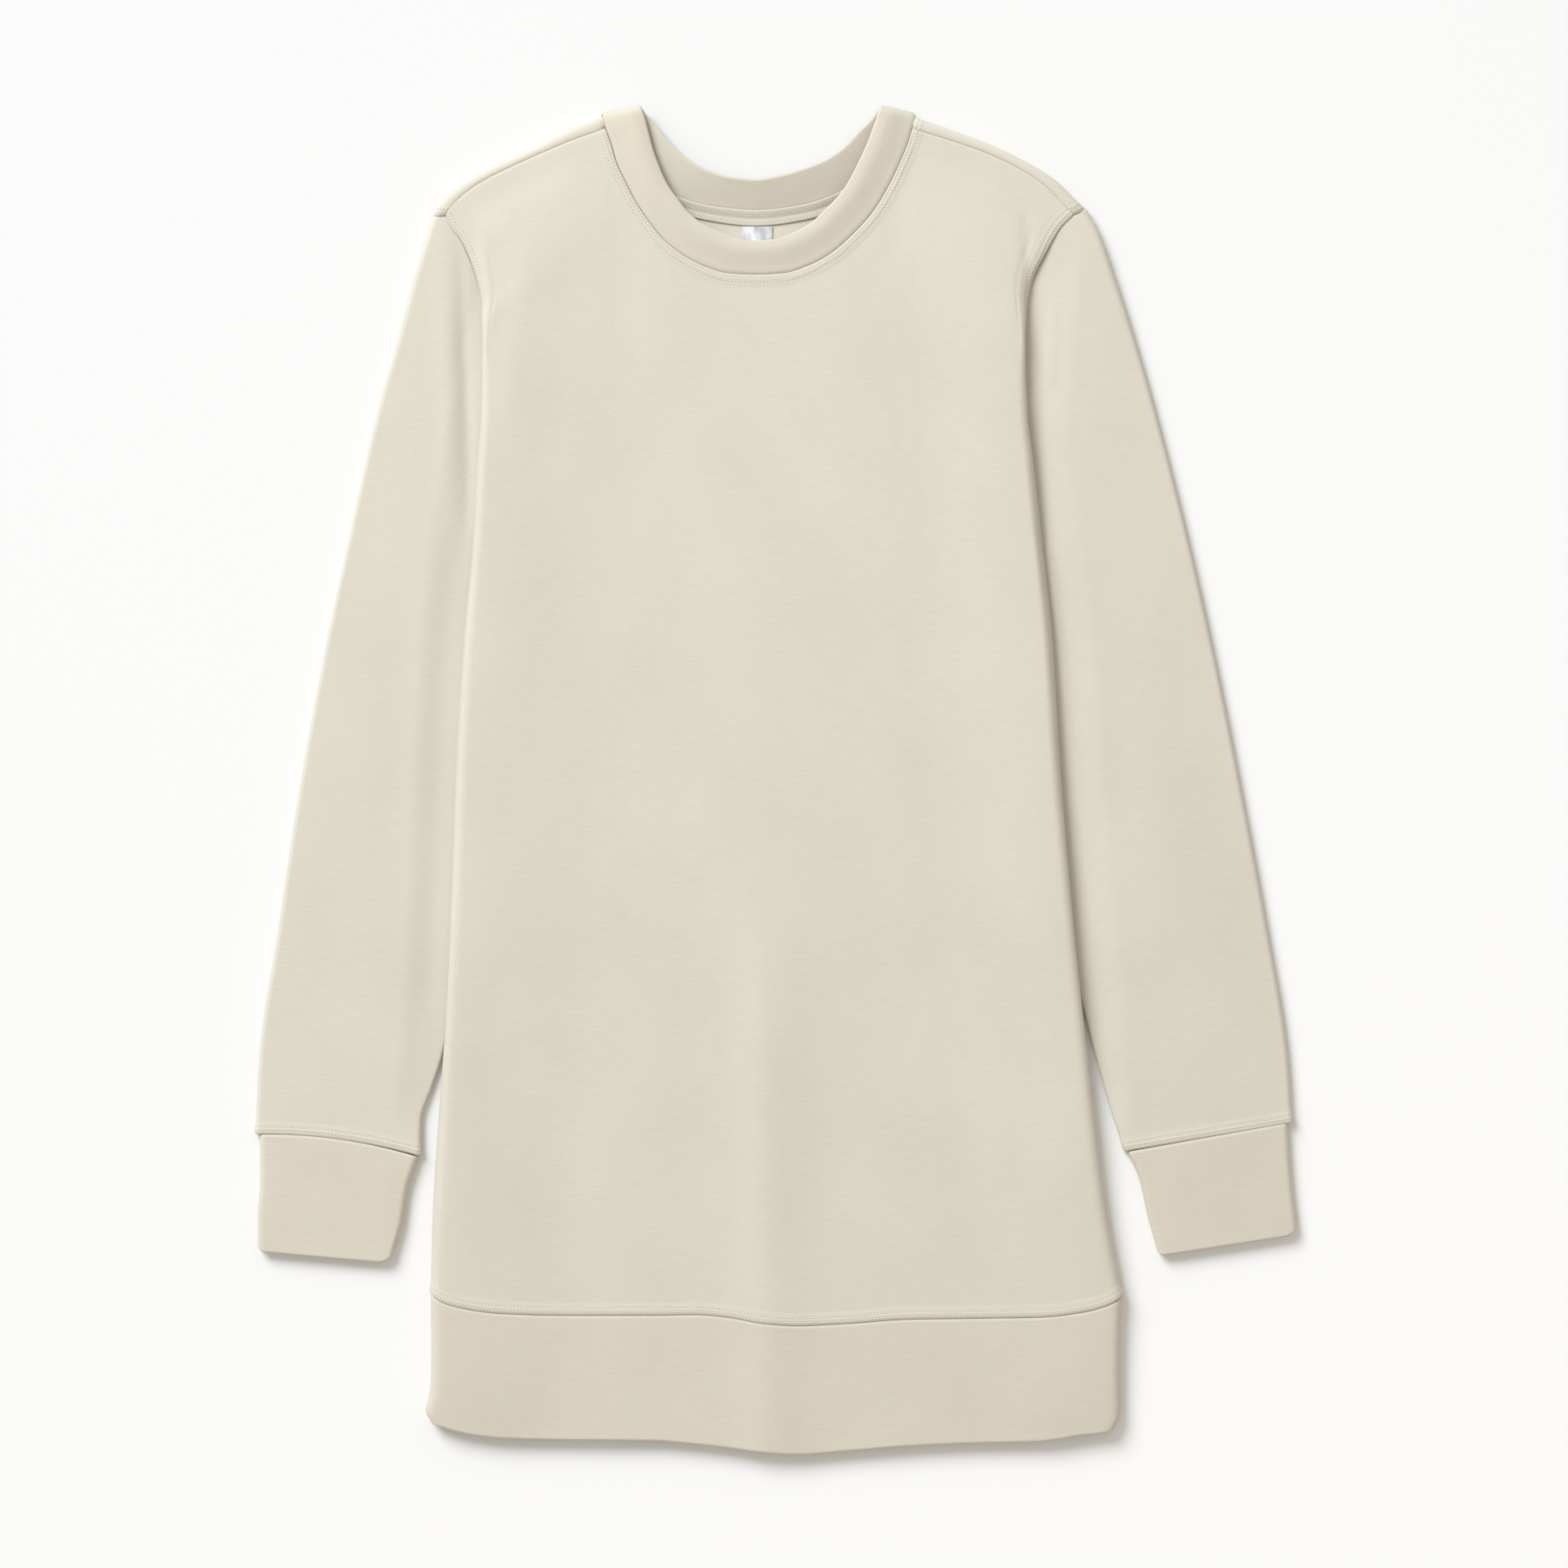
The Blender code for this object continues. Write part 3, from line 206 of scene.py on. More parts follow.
sleeveCreases = {
    -1: tableOf(
        crease,
        (-197, 356, -188.5, 100, 1, 3.4, -0.95), (-206, 350, -200, 120, 1, 7, 1.3),
        (-262, 60, -244, -150, 3, 17, 0.45), (-226, 150, -236, -80, -3, 13, -0.35),
        (-214, -120, -226, -232, 2, 6, 0.5),
    ),
    1: tableOf(
        crease,
        (171, 312, 168, 235, 1, 3.2, 0.8), (186, 340, 178, 190, -1.5, 7, 0.6),
        (232, 60, 256, -150, -3, 17, 0.45), (206, 190, 214, -60, 3, 13, -0.35),
        (206, -130, 222, -228, -2, 6, 0.5),
    ),
}
cuffCreases = {
    -1: tableOf(
        crease,
        (-246, -225, -240, -306, 2, 9, 0.5), (-290, -228, -284, -300, -2, 15, -0.35),
    ),
    1: tableOf(
        crease,
        (246, -222, 250, -300, -2, 10, 0.4), (292, -222, 288, -296, 2, 14, -0.35),
    ),
}


def ease(t):  # 0 below 0, 1 above 1, a smooth step between
    t = np.clip(t, 0.0, 1.0)
    return t * t * (3.0 - 2.0 * t)


def bell(t):  # 1 at 0, falling to nothing by about 2
    return np.exp(-np.square(t))


def column(table, name):  # one column of a table
    return np.array([getattr(row, name) for row in table], float)


def cubic(keys, values, at):  # a cubic through the values, each slope the harmonic mean of its neighbours'
    rise = np.diff(values) / np.diff(keys)
    slope = np.concatenate([[rise[0]], np.zeros(len(rise) - 1), [rise[-1]]])
    same = rise[:-1] * rise[1:] > 0
    both = np.where(same, rise[:-1] + rise[1:], 1.0)
    slope[1:-1] = np.where(same, 2.0 * rise[:-1] * rise[1:] / both, 0.0)
    at = np.clip(at, keys[0], keys[-1])
    i = np.clip(np.searchsorted(keys, at) - 1, 0, len(keys) - 2)
    wide = keys[i + 1] - keys[i]
    t = (at - keys[i]) / wide
    return (
        values[i] * (1 + 2 * t) * (1 - t) ** 2 + slope[i] * wide * t * (1 - t) ** 2
        + values[i + 1] * t * t * (3 - 2 * t) + slope[i + 1] * wide * t * t * (t - 1)
    )


def smooth(table, key, name, at):  # one column of a table, at any value of its key
    keys, values = column(table, key), column(table, name)
    order = np.argsort(keys)
    return cubic(keys[order], values[order], np.asarray(at, float))


def wayAlong(line):  # how far along a line each of its points lies
    return np.append(0.0, np.cumsum(np.linalg.norm(np.diff(line, axis=0), axis=1)))


def follow(points, places):  # points at these shares of the way along a smooth curve through the given ones
    points = np.asarray(points, float)
    keys = wayAlong(points)
    at = np.asarray(places, float) * keys[-1]
    return np.stack([cubic(keys, points[:, k], at) for k in range(points.shape[1])], axis=1)


def spread(low, high, length, fine, coarse):
    # Places from 0 to length: fine steps over the first low and the last high, growing to coarse ones.
    grow = np.cumsum(np.geomspace(fine, coarse, 7))
    first, last = np.arange(0.0, low, fine), np.arange(0.0, high, fine)
    start = np.concatenate([first, first[-1] + grow]) if low else np.zeros(1)
    stop = np.concatenate([last, last[-1] + grow]) if high else np.zeros(1)
    stop = length - stop[::-1]
    steps = max(int(round((stop[0] - start[-1]) / coarse)), 1)
    return np.concatenate([start, np.linspace(start[-1], stop[0], steps + 1)[1:-1], stop])


def readLine(line, at, keys=None):
    # The points at these distances along a line, or what goes with its points, at keys, at those distances.
    keys = wayAlong(line) if keys is None else keys
    return np.stack([np.interp(at, keys, line[:, k]) for k in range(line.shape[1])], axis=1)


def unit(vectors):  # the same directions, each of length 1
    return vectors / np.maximum(np.linalg.norm(vectors, axis=-1, keepdims=True), 1e-9)


def normals(grid, closed):
    # The unit normal at each point, from the quads round it. It points up where the rows run up the
    # garment and the columns to the right.
    ring = np.concatenate([grid, grid[:1]]) if closed else grid
    quad = np.cross(ring[:-1, 1:] - ring[1:, :-1], ring[1:, 1:] - ring[:-1, :-1])
    total = np.zeros_like(ring)
    for di in (0, 1):
        for dj in (0, 1):
            total[di:di + quad.shape[0], dj:dj + quad.shape[1]] += quad
    if closed:
        total[0] += total[-1]
        total = total[:-1]
    return unit(total)


def fromLine(x, y, line):  # the distance in plan of each point from a run of straight pieces
    best = np.full(x.shape, 1e9)
    for (ax, ay), (bx, by) in zip(line[:-1, :2], line[1:, :2]):
        dx, dy = bx - ax, by - ay
        t = np.clip(((x - ax) * dx + (y - ay) * dy) / (dx * dx + dy * dy + 1e-12), 0.0, 1.0)
        best = np.minimum(best, np.square(x - ax - dx * t) + np.square(y - ay - dy * t))
    return np.sqrt(best)


def along(grid, axis):  # the distance from the first row or column, measured on the grid
    step = np.linalg.norm(np.diff(grid, axis=axis), axis=2)
    return np.concatenate([np.zeros_like(np.take(step, [0], axis)), np.cumsum(step, axis)], axis)


def creased(x, y, table):  # the sum of each crease: its depth, a bell across it and an ease along it
    lift = np.zeros(np.broadcast(x, y).shape)
    for c in table:
        length = np.hypot(c.x1 - c.x0, c.y1 - c.y0)
        ux, uy = (c.x1 - c.x0) / length, (c.y1 - c.y0) / length
        t = ((x - c.x0) * ux + (y - c.y0) * uy) / length
        across = (x - c.x0) * -uy + (y - c.y0) * ux - c.bow * 4 * t * (1 - t)
        lift += c.depth * bell(across / c.width) * ease(t / creaseFade) * ease((1 - t) / creaseFade)
    return lift


def seamLift(d):  # a panel's surface by its two-needle seam: rolled edge, raised allowance, two furrows
    lift = seam["ridge"] * (1 - ease((d - seam["level"]) / (seam["allowance"] - seam["level"])))
    lift = lift - (seam["edgeDrop"] + seam["ridge"]) * (1 - ease(d / seam["edgeRoll"]))
    for row in seam["rows"]:
        lift = lift - seam["furrow"] * bell((d - row) / seam["furrowWidth"])
    return lift


def plainSeam(d):  # the other side of a seam, whose surface dips into the seam line
    return -seam["groove"] * (1 - ease(d / seam["grooveWidth"]))


def foldedHalf(d, thickness):  # half of a doubled band's thickness at a distance from its folded edge
    near = 1 - np.clip(2 * d / thickness, 0.0, 1.0)
    return thickness / 2 * np.sqrt(1 - 0.94 * near * near)


def foldPlaces(length, thickness, fine, coarse):
    # Places from a band's seam to its folded edge, close together by both.
    near = np.array([1.3, 0.9, 0.55, 0.3, 0.12, 0.0]) * thickness / 2
    return np.concatenate([spread(2.6, 0, length - near[0] - 0.6, fine, coarse), length - near])


def shell(name, middle, half, lift, material, facing=1, closed=False):
    # Two faces half a wall out from the middle surface on each side, the outer one lifted further, and
    # joined by rounded edges, whose rings stand at these turns from the middle of the wall.
    rows, columns = middle.shape[:2]
    n = normals(middle, closed) * facing
    half = np.broadcast_to(half, (rows, columns))[..., None]
    outer = middle + n * (half + np.broadcast_to(lift, (rows, columns))[..., None])
    inner = middle - n * half
    for face in (outer, inner):
        face[..., 2] = np.maximum(face[..., 2], 0.0)
    faces = {"outer": outer, "inner": inner, "n": n}
    outer, inner = outer.reshape(-1, 3), inner.reshape(-1, 3)
    out = np.zeros_like(middle)
    ends = [(np.s_[:, 0], np.s_[:, 1]), (np.s_[:, -1], np.s_[:, -2])]
    for edge, within in ends if closed else ends + [(0, 1), (-1, -2)]:
        out[edge] += unit(middle[edge] - middle[within])
    out = (unit(out) * cloth["rim"]).reshape(-1, 3)

    number = np.arange(rows * columns).reshape(rows, columns)
    place = np.arange((rows + closed) * columns).reshape(rows + closed, columns)
    if closed:
        number = np.concatenate([number, number[:1]])
        rims = [(number[:, 0], place[:, 0]), (number[::-1, -1], place[::-1, -1])]
    else:
        rims = [[np.concatenate([g[:, 0], g[-1, 1:], g[-2::-1, -1], g[0, -2::-1]])
                 for g in (number, place)]]
    under, count = rows * columns, 2 * rows * columns
    points, quads, corners = [outer, inner], [], []

    def strip(a, b, spotA, spotB):  # the quads between two runs of points
        quads.append(np.stack([a[:-1], a[1:], b[1:], b[:-1]], axis=-1).reshape(-1, 4))
        corners.append(np.stack([spotA[:-1], spotA[1:], spotB[1:], spotB[:-1]], -1).reshape(-1, 4))

    strip(number[:, 1:], number[:, :-1], place[:, 1:], place[:, :-1])
    strip(number[:, :-1] + under, number[:, 1:] + under, place[:, :-1], place[:, 1:])
    for edge, spot in rims:
        bound = edge[:-1]
        mid, reach = (outer[bound] + inner[bound]) / 2, (outer[bound] - inner[bound]) / 2
        loops = [edge]
        for turn in (0.9, 0.0, -0.9):
            points.append(mid + reach * np.sin(turn) + out[bound] * np.cos(turn))
            ring = count + np.arange(len(bound))
            loops.append(np.append(ring, ring[0]))
            count += len(bound)
        loops.append(edge + under)
        for a, b in zip(loops[:-1], loops[1:]):
            strip(a, b, spot, spot)
    points, quads, corners = map(np.concatenate, (points, quads, corners))
    points[:, 2] = np.maximum(points[:, 2], 0.0)
    fan = np.cross(points[quads[:, 2]] - points[quads[:, 0]], points[quads[:, 3]] - points[quads[:, 1]])
    if (fan * points[quads].mean(axis=1)).sum() < 0:
        quads, corners = quads[:, ::-1], corners[:, ::-1]
    measure = np.stack(clothSize(middle, closed), axis=-1).reshape(-1, 2)
    faces["piece"] = addPiece(name, points, quads, [material], measure[corners])
    return faces


def addPiece(name, points, quads, materials, measure=None, which=None):
    # A smooth-shaded mesh at the origin, from points in millimetres and its quads.
    mesh = bpy.data.meshes.new(name)
    mesh.from_pydata((points * mm).tolist(), [], quads.tolist())
    mesh.shade_smooth()
    if measure is not None:
        layer = mesh.uv_layers.new(name="cloth")
        layer.uv.foreach_set("vector", (measure * mm).astype(np.float32).ravel())
    for material in materials:
        mesh.materials.append(material)
    if which is not None:
        mesh.polygons.foreach_set("material_index", which.astype(np.int32))
    piece = bpy.data.objects.new(name, mesh)
    bpy.context.scene.collection.objects.link(piece)
    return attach(piece, "root")


def clothSize(middle, closed):
    # The cloth's own measure, for the knit's pattern: round and along a ring, which meets its start
    # again, or across an open sheet from its middle column, and up it.
    if closed:
        ring = np.concatenate([middle, middle[:1]])
        return along(ring, 0), along(ring, 1)
    across = along(middle, 1)
    return across - across[:, across.shape[1] // 2, None], along(middle, 0)


class Socket:  # an output of a material's node, on which arithmetic adds Math nodes
    def __init__(self, finish, link):
        self.finish, self.link = finish, link

    def math(self, operation, *values):
        return self.finish.node("ShaderNodeMath", {"operation": operation}, dict(enumerate(values)))

    def __add__(self, other):
        return self.math("ADD", self, other)

    def __sub__(self, other):
        return self.math("SUBTRACT", self, other)

    def __rsub__(self, other):
        return self.math("SUBTRACT", other, self)

    def __mul__(self, other):
        return self.math("MULTIPLY", self, other)

    def __truediv__(self, other):
        return self.math("DIVIDE", self, other)

    __radd__, __rmul__ = __add__, __mul__

    def sine(self):
        return self.math("SINE", self)

    def size(self):
        return self.math("ABSOLUTE", self)


class Finish:  # a material and its nodes
    def __init__(self, name, roughness, **constants):
        self.material = bpy.data.materials.new(name)
        self.material.use_nodes = True
        self.tree = self.material.node_tree
        self.shader = self.tree.nodes["Principled BSDF"]
        self.shader.inputs["Roughness"].default_value = roughness
        for socket, value in constants.items():
            self.shader.inputs[socket.replace("_", " ")].default_value = value

    def node(self, kind, settings, sockets, output=0):
        # A node of this kind: its settings first, then the values or links of its sockets.
        made = self.tree.nodes.new(kind)
        for key, value in settings.items():
            setattr(made, key, value)
        for key, value in sockets.items():
            if isinstance(value, Socket):
                self.tree.links.new(value.link, made.inputs[key])
            else:
                made.inputs[key].default_value = value
        return Socket(self, made.outputs[output])

    def cloth(self):  # the cloth's own measure in metres: across, up
        uv = self.node("ShaderNodeUVMap", {"uv_map": "cloth"}, {})
        return [self.node("ShaderNodeSeparateXYZ", {}, {0: uv}, k) for k in (0, 1)]

    def noise(self, across, up, detail=2.0):  # noise between about 0.3 and 0.7 on a pair of measures
        at = self.node("ShaderNodeCombineXYZ", {}, {0: across, 1: up})
        settings = {"noise_dimensions": "2D"}
        return self.node("ShaderNodeTexNoise", settings, {"Vector": at, "Scale": 1.0, "Detail": detail})

    def between(self, first, second, share):  # a colour between two
        settings = {"data_type": "RGBA", "clamp_factor": True}
        return self.node("ShaderNodeMix", settings, {0: share, 6: (*first, 1), 7: (*second, 1)}, 2)

    def paint(self, colour, height, distance, strength):  # the colour, and the height as a bump
        relief = {"Height": height, "Distance": distance, "Strength": strength}
        bump = self.node("ShaderNodeBump", {}, relief)
        self.tree.links.new(colour.link, self.shader.inputs["Base Color"])
        self.tree.links.new(bump.link, self.shader.inputs["Normal"])
        return self.material


knit = {
    "bright": (0.692, 0.650, 0.556), "shade": (0.622, 0.583, 0.493),
    "streakLength": 0.013, "streakHeight": 0.0009, "streaks": 0.85, "mottle": 0.9, "fuzz": 0.5,
    "mottleSize": (0.07, 0.09), "fuzzSize": 0.0011, "wale": 0.00078, "course": 0.00062,
    "bump": 0.00009, "strength": 0.35,
}


def knitFinish(name, tint):
    # A smooth jersey: rows of small loops in the bump, and in the colour short streaks across the
    # cloth, a slow mottle and a little fuzz. tint scales the colours.
    finish = Finish(name, 0.93, Sheen_Weight=0.12, Sheen_Roughness=0.6, Specular_IOR_Level=0.2)
    across, up = finish.cloth()
    streak = finish.noise(across / knit["streakLength"], up / knit["streakHeight"])
    mottle = finish.noise(across / knit["mottleSize"][0], up / knit["mottleSize"][1], 3.0)
    fuzz = finish.noise(across / knit["fuzzSize"], up / knit["fuzzSize"], 1.0)
    share = 0.5 + (streak - 0.5) * knit["streaks"] + (mottle - 0.5) * knit["mottle"]
    share = share + (fuzz - 0.5) * knit["fuzz"]
    colours = [tuple(np.array(knit[key]) * tint) for key in ("shade", "bright")]
    colour = finish.between(*colours, share)
    wale = (across * (np.pi / knit["wale"])).sine().size()
    loop = (up * (2 * np.pi / knit["course"]) + wale * 2.4).sine()
    height = wale * 0.6 + loop * wale * 0.3 + fuzz * 0.8 + streak * 0.5
    return finish.paint(colour, height, knit["bump"], knit["strength"])


def satinFinish():  # a bare woven label: fine threads, and a painted gloss, its colour painted lighter and darker in soft patches across it
    finish = Finish("labelSatin", 0.38, Sheen_Weight=0.1)
    across, up = finish.cloth()
    # painted gloss: the colour swings between dark and light grey in patches, standing in for the satin's
    # shine
    paintedGloss = finish.noise(across / 0.006, up / 0.010, 1.0)
    colour = finish.between((0.48, 0.48, 0.50), (0.78, 0.785, 0.79), paintedGloss * 3.0 - 1.0)
    weft = (up * (2 * np.pi / 0.00035)).sine() + (across * (2 * np.pi / 0.00022)).sine() * 0.5
    return finish.paint(colour, weft, 0.00003, 0.3)


def threadAndHoleShadeFinish(name, colour, roughness):  # sewing thread, a little uneven along its length; also the painted shade of the needles' holes
    finish = Finish(name, roughness)
    place = finish.node("ShaderNodeTexCoord", {}, {}, 3)
    twist = finish.node("ShaderNodeTexNoise", {}, {"Vector": place, "Scale": 1500.0})
    dark = tuple(np.array(colour) * 0.85)
    return finish.paint(finish.between(dark, colour, twist), twist, 0.00002, 0.3)


bodyKnit = knitFinish("bodyKnit", (1.0, 1.0, 0.99))
bandKnit = knitFinish("bandKnit", (0.972, 0.964, 0.930))
tapeKnit = knitFinish("tapeKnit", (1.0, 1.0, 0.98))
labelSatin = satinFinish()
thread = threadAndHoleShadeFinish("thread", (0.80, 0.755, 0.64), 0.6)
# painted shade: a dark brown for the small sunk blobs that stand for the shade in the needles' holes
paintedHoleShade = threadAndHoleShadeFinish("paintedHoleShade", (0.30, 0.255, 0.185), 0.95)
print("finishes made")


# Past each stitch a sunk blob of painted shade marks the needle's hole; its length and width are given
# here.
stitch = {"pitch": 2.0, "length": 1.5, "thick": 0.58, "slant": 0.2, "holeShade": 0.5, "wide": 0.5}


def stitchLine(line, up):
    # The stitches along a line on the cloth: for each a small capsule that arches out of the cloth
    # and dives back in, and past its end a dark blob sunk in the cloth, painted shade for the needle's
    # hole.
    keys, near = wayAlong(line), 0.4 * stitch["pitch"]
    at = np.arange(stitch["pitch"], keys[-1] - stitch["pitch"] / 2, stitch["pitch"])
    ahead = unit(readLine(line, at + near) - readLine(line, at - near))
    rise = unit(readLine(up, at, keys))
    side = unit(np.cross(rise, ahead))
    slanted = ahead * np.cos(stitch["slant"]) + side * np.sin(stitch["slant"])
    thick, wide = stitch["thick"] / 2, stitch["wide"] / 2
    arch = capsule(readLine(line, at), slanted, np.cross(rise, slanted), rise, stitch["length"] / 2,
                   thick, np.array([-0.9, 0.25, 0.55, 0.25, -0.9]) * thick)
    holeShade = capsule(readLine(line, at + stitch["pitch"] / 2), ahead, side, rise, stitch["holeShade"] / 2,
                   wide, np.full(5, -0.84) * wide)
    return arch, holeShade


def capsule(centre, ahead, side, up, half, thick, rise):
    # Rings of six points round a short run: centre + ahead * half * u + ring(angle) * thick * r(u).
    u, r = np.array([-1.0, -0.72, 0.0, 0.72, 1.0]), np.array([0.35, 0.85, 1.0, 0.85, 0.35])
    angle = np.arange(6) * np.pi / 3

    def part(vector, size):
        return vector[:, None, None] * size[None, :, :, None]

    ring = np.ones((1, 6))
    return (
        part(ahead, (u * half)[:, None] * ring) + part(side, thick * r[:, None] * np.cos(angle))
        + part(up, thick * r[:, None] * np.sin(angle) + rise[:, None] * ring)
        + centre[:, None, None]
    ).reshape(-1, 3)


def sew(name, lines):
    # One piece from all the stitches along these lines, thread first and then the painted shade of the
    # needles' holes.
    runs = [stitchLine(*line) for line in lines]
    points = np.concatenate([run[0] for run in runs] + [run[1] for run in runs])
    number = np.arange(30).reshape(5, 6)
    ring = np.concatenate([number, number[:, :1]], axis=1)
    side = np.stack([ring[:-1, :-1], ring[:-1, 1:], ring[1:, 1:], ring[1:, :-1]], -1).reshape(-1, 4)
    caps = np.array([[3, 2, 1, 0], [5, 4, 3, 0], [24, 25, 26, 27], [24, 27, 28, 29]])
    one = np.concatenate([side, caps])
    count = len(points) // 30
    quads = (one[None] + 30 * np.arange(count)[:, None, None]).reshape(-1, 4)
    # the second half of the capsules, the needles' holes, take the painted shade
    which = np.repeat(np.arange(count) >= count // 2, len(one))
    points[:, 2] = np.maximum(points[:, 2], 0.0)
    piece = addPiece(name, points, quads, [thread, paintedHoleShade], which=which)
    print(name, count // 2, "stitches")


def rowAt(faces, distance, target, keep=True):
    # The line on a piece's outer face where the distance, counted down its rows, passes the target.
    k = np.clip((np.cumsum(distance >= target, axis=0) < 1).sum(axis=0), 1, len(distance) - 1)
    j = np.arange(distance.shape[1])
    t = ((target - distance[k - 1, j]) / (distance[k, j] - distance[k - 1, j]))[:, None]
    line, up = (faces[key][k - 1, j] * (1 - t) + faces[key][k, j] * t for key in ("outer", "n"))
    use = (distance[0] < target) & (distance[k, j] >= target) & keep
    return line[use], up[use]


def changed(faces, change):  # a piece's outer face and its normals, flipped or turned for rowAt
    return {key: change(faces[key]) for key in ("outer", "n")}


def stripLength(rise, turn, run):  # the length of the cloth from the foot of a turned edge to its end
    angle = np.radians(turn)
    return run + angle * (np.abs(rise) - run * np.sin(angle)) / (1 - np.cos(angle))


def turned(end, outward, rise, turn, run, s):
    # A strip that leaves its foot along outward, bends through an arc and runs on straight to its end,
    # rise higher than the foot. s is the distance of each point from that end, measured on the cloth.
    angle = np.radians(turn)[:, None]
    rise, run = rise[:, None], run[:, None]
    radius = (np.abs(rise) - run * np.sin(angle)) / (1 - np.cos(angle))
    part = np.clip(angle - (s - run) / radius, 0.0, angle)
    straight = np.clip(run - s, 0.0, None)
    reach = radius * np.sin(angle) + run * np.cos(angle)
    ahead = radius * np.sin(part) + straight * np.cos(angle) - reach
    over = radius * (1 - np.cos(part)) + straight * np.sin(angle)
    strip = end[:, None] + outward[:, None] * ahead[..., None]
    strip[..., 2] += np.sign(rise) * over - rise
    return strip


def rowsOf(table, key, at):  # every column of a table, at any value of its key
    return {name: smooth(table, key, name, at) for name in table[0]._fields}


def opened(turn):  # 0 where the front's side is still tucked under, 1 where its armhole seam shows
    return 1 - np.clip((turn - 66) / 26, 0, 1)


def frontSeam(y, side):
    # The front's sewn edge: under the body where its side is tucked, along the armhole above.
    row = rowsOf(bodySide, "y", y)
    angle = np.radians(row["turn"])
    radius = (row["top"] - row["tuck"] - row["run"] * np.sin(angle)) / (1 - np.cos(angle))
    hidden = cloth["panel"] / 2 + radius * (1 - np.sin(angle)) - row["run"] * np.cos(angle)
    return row["left" if side < 0 else "right"] - side * hidden * (1 - opened(row["turn"]))


# How far in the front slopes down from its folds, and its soft ridge, which starts below ridgeTop.
frontForm = {
    "slope": 85, "creaseFree": 12, "ridge": 1.8, "ridgeX": -6, "ridgeWidth": 18, "ridgeTop": -40,
    "ridgeRun": 160,
}


def frontHeight(x, y, leftFold, rightFold, sideTop):
    # Low in the middle, climbing to the folds at the sides, with the soft ridge that runs to the hem.
    middle = smooth(frontMiddle, "y", "height", y)
    near = np.minimum(x - leftFold, rightFold - x)
    ridge = bell((x - frontForm["ridgeX"]) / frontForm["ridgeWidth"])
    ridge = ridge * ease((frontForm["ridgeTop"] - y) / frontForm["ridgeRun"])
    crease = creased(x, y, frontCreases) * ease(near / frontForm["creaseFree"])
    crease = crease + creased(x, y, armpitCreases)
    slope = 1 - ease(near / frontForm["slope"])
    return middle + (sideTop - middle) * slope + frontForm["ridge"] * ridge + crease


frontRing = neckRows[rightCorner:] + neckRows[:leftCorner + 1]  # from the right shoulder to the left
backRing = neckRows[leftCorner:rightCorner + 1]


frontPanel = {
    "neckColumns": 130, "sideColumns": 21, "rowStep": 8.0, "armholeStart": 262.0,
    "foldLift": 1.0, "foldPlace": 3.2, "foldWidth": 3.4, "slantStart": 318, "bend": 0.24,
}


def shoulderLine(side):
    # The front's edge along a shoulder seam, from the armhole to the neck, a little short of the back's.
    table, corner = (leftShoulder, leftCorner) if side < 0 else (rightShoulder, rightCorner)
    points = [(row.x, row.y) for row in table[:-1]] + [neckRows[corner][:2]]
    return follow(points, np.linspace(0, 1, 90)) - (0, cloth["gap"] / 2)


def frontStrip(side, y):
    # One side of the front: a row of points for each y, from the sewn end round the fold to its foot,
    # and how much of the shoulder seam its upper edge takes.
    row = rowsOf(bodySide, "y", y)
    slant = ease((y - frontPanel["slantStart"]) / 30)
    outward = unit(np.stack([side * (1 - 0.32 * slant), -0.73 * slant, 0 * y], axis=1))
    end = np.stack([frontSeam(y, side), y, row["tuck"]], axis=1)
    end -= outward * (cloth["gap"] / 2 * opened(row["turn"]))[:, None]
    rise = row["tuck"] - row["top"]
    length = stripLength(rise, row["turn"], row["run"])[:, None]
    near = np.array([0, 0.5, 1, 1.4, 1.8, 2.2, 2.8, 3.5, 4.2, 4.7, 5.2, 6.2, 7.4])
    share = np.linspace(0, 1, frontPanel["sideColumns"] - len(near) + 1)[1:]
    s = np.concatenate([near + 0 * length, near[-1] + (length - near[-1]) * share], axis=1)
    strip = turned(end, outward, rise, row["turn"], row["run"], s)
    full = frontPanel["foldLift"] * ease((row["turn"] - 100) / 60)[:, None]
    strip[..., 2] += full * bell((length - s - frontPanel["foldPlace"]) / frontPanel["foldWidth"])
    last = np.maximum(np.minimum(7.0, row["run"] / 2), 0.1)[:, None]
    strip[..., 2] -= (row["tuck"] - row["seam"])[:, None] * ease(1 - s / last)
    turnIn = ease((y - 325) / (y[-1] - 325))[:, None, None]
    strip[..., :2] += (readLine(shoulderLine(side), s[-1]) - strip[-1, :, :2]) * turnIn
    x, z = strip[0, :, 0], strip[0, :, 2]
    limit = hemRows[0].x if side < 0 else hemRows[-1].x
    x = np.where(z > (z.min() + z.max()) / 2, x, limit)
    offset = smooth(hemRows, "x", "seam", x) + cloth["gap"] / 2 - bodySide[0].y
    strip[..., 1] += offset * np.clip((-265 - y) / 51, 0, 1)[:, None]
    strip[..., 2] += creased(strip[..., 0], strip[..., 1], armpitCreases)
    return strip, s[-1, -1]


def frontTop(starts):
    # The front's upper boundary in plan: the left shoulder seam, the neckline, the right shoulder seam.
    # starts says how far from the armholes the shoulder seams begin.
    neck = follow(frontRing, np.linspace(0, 1, frontPanel["neckColumns"] + 1))[::-1, :2]
    places = spread(8, 0, 100, 0.7, 4) / 100
    shoulders = []
    for side, start in zip((-1, 1), starts):
        line = shoulderLine(side)
        total = np.linalg.norm(np.diff(line, axis=0), axis=1).sum()
        shoulders.append(readLine(line, total - (total - start) * places))
        shoulders[-1][0] = neck[0 if side < 0 else -1]
    return shoulders[0][::-1], neck, shoulders[1]


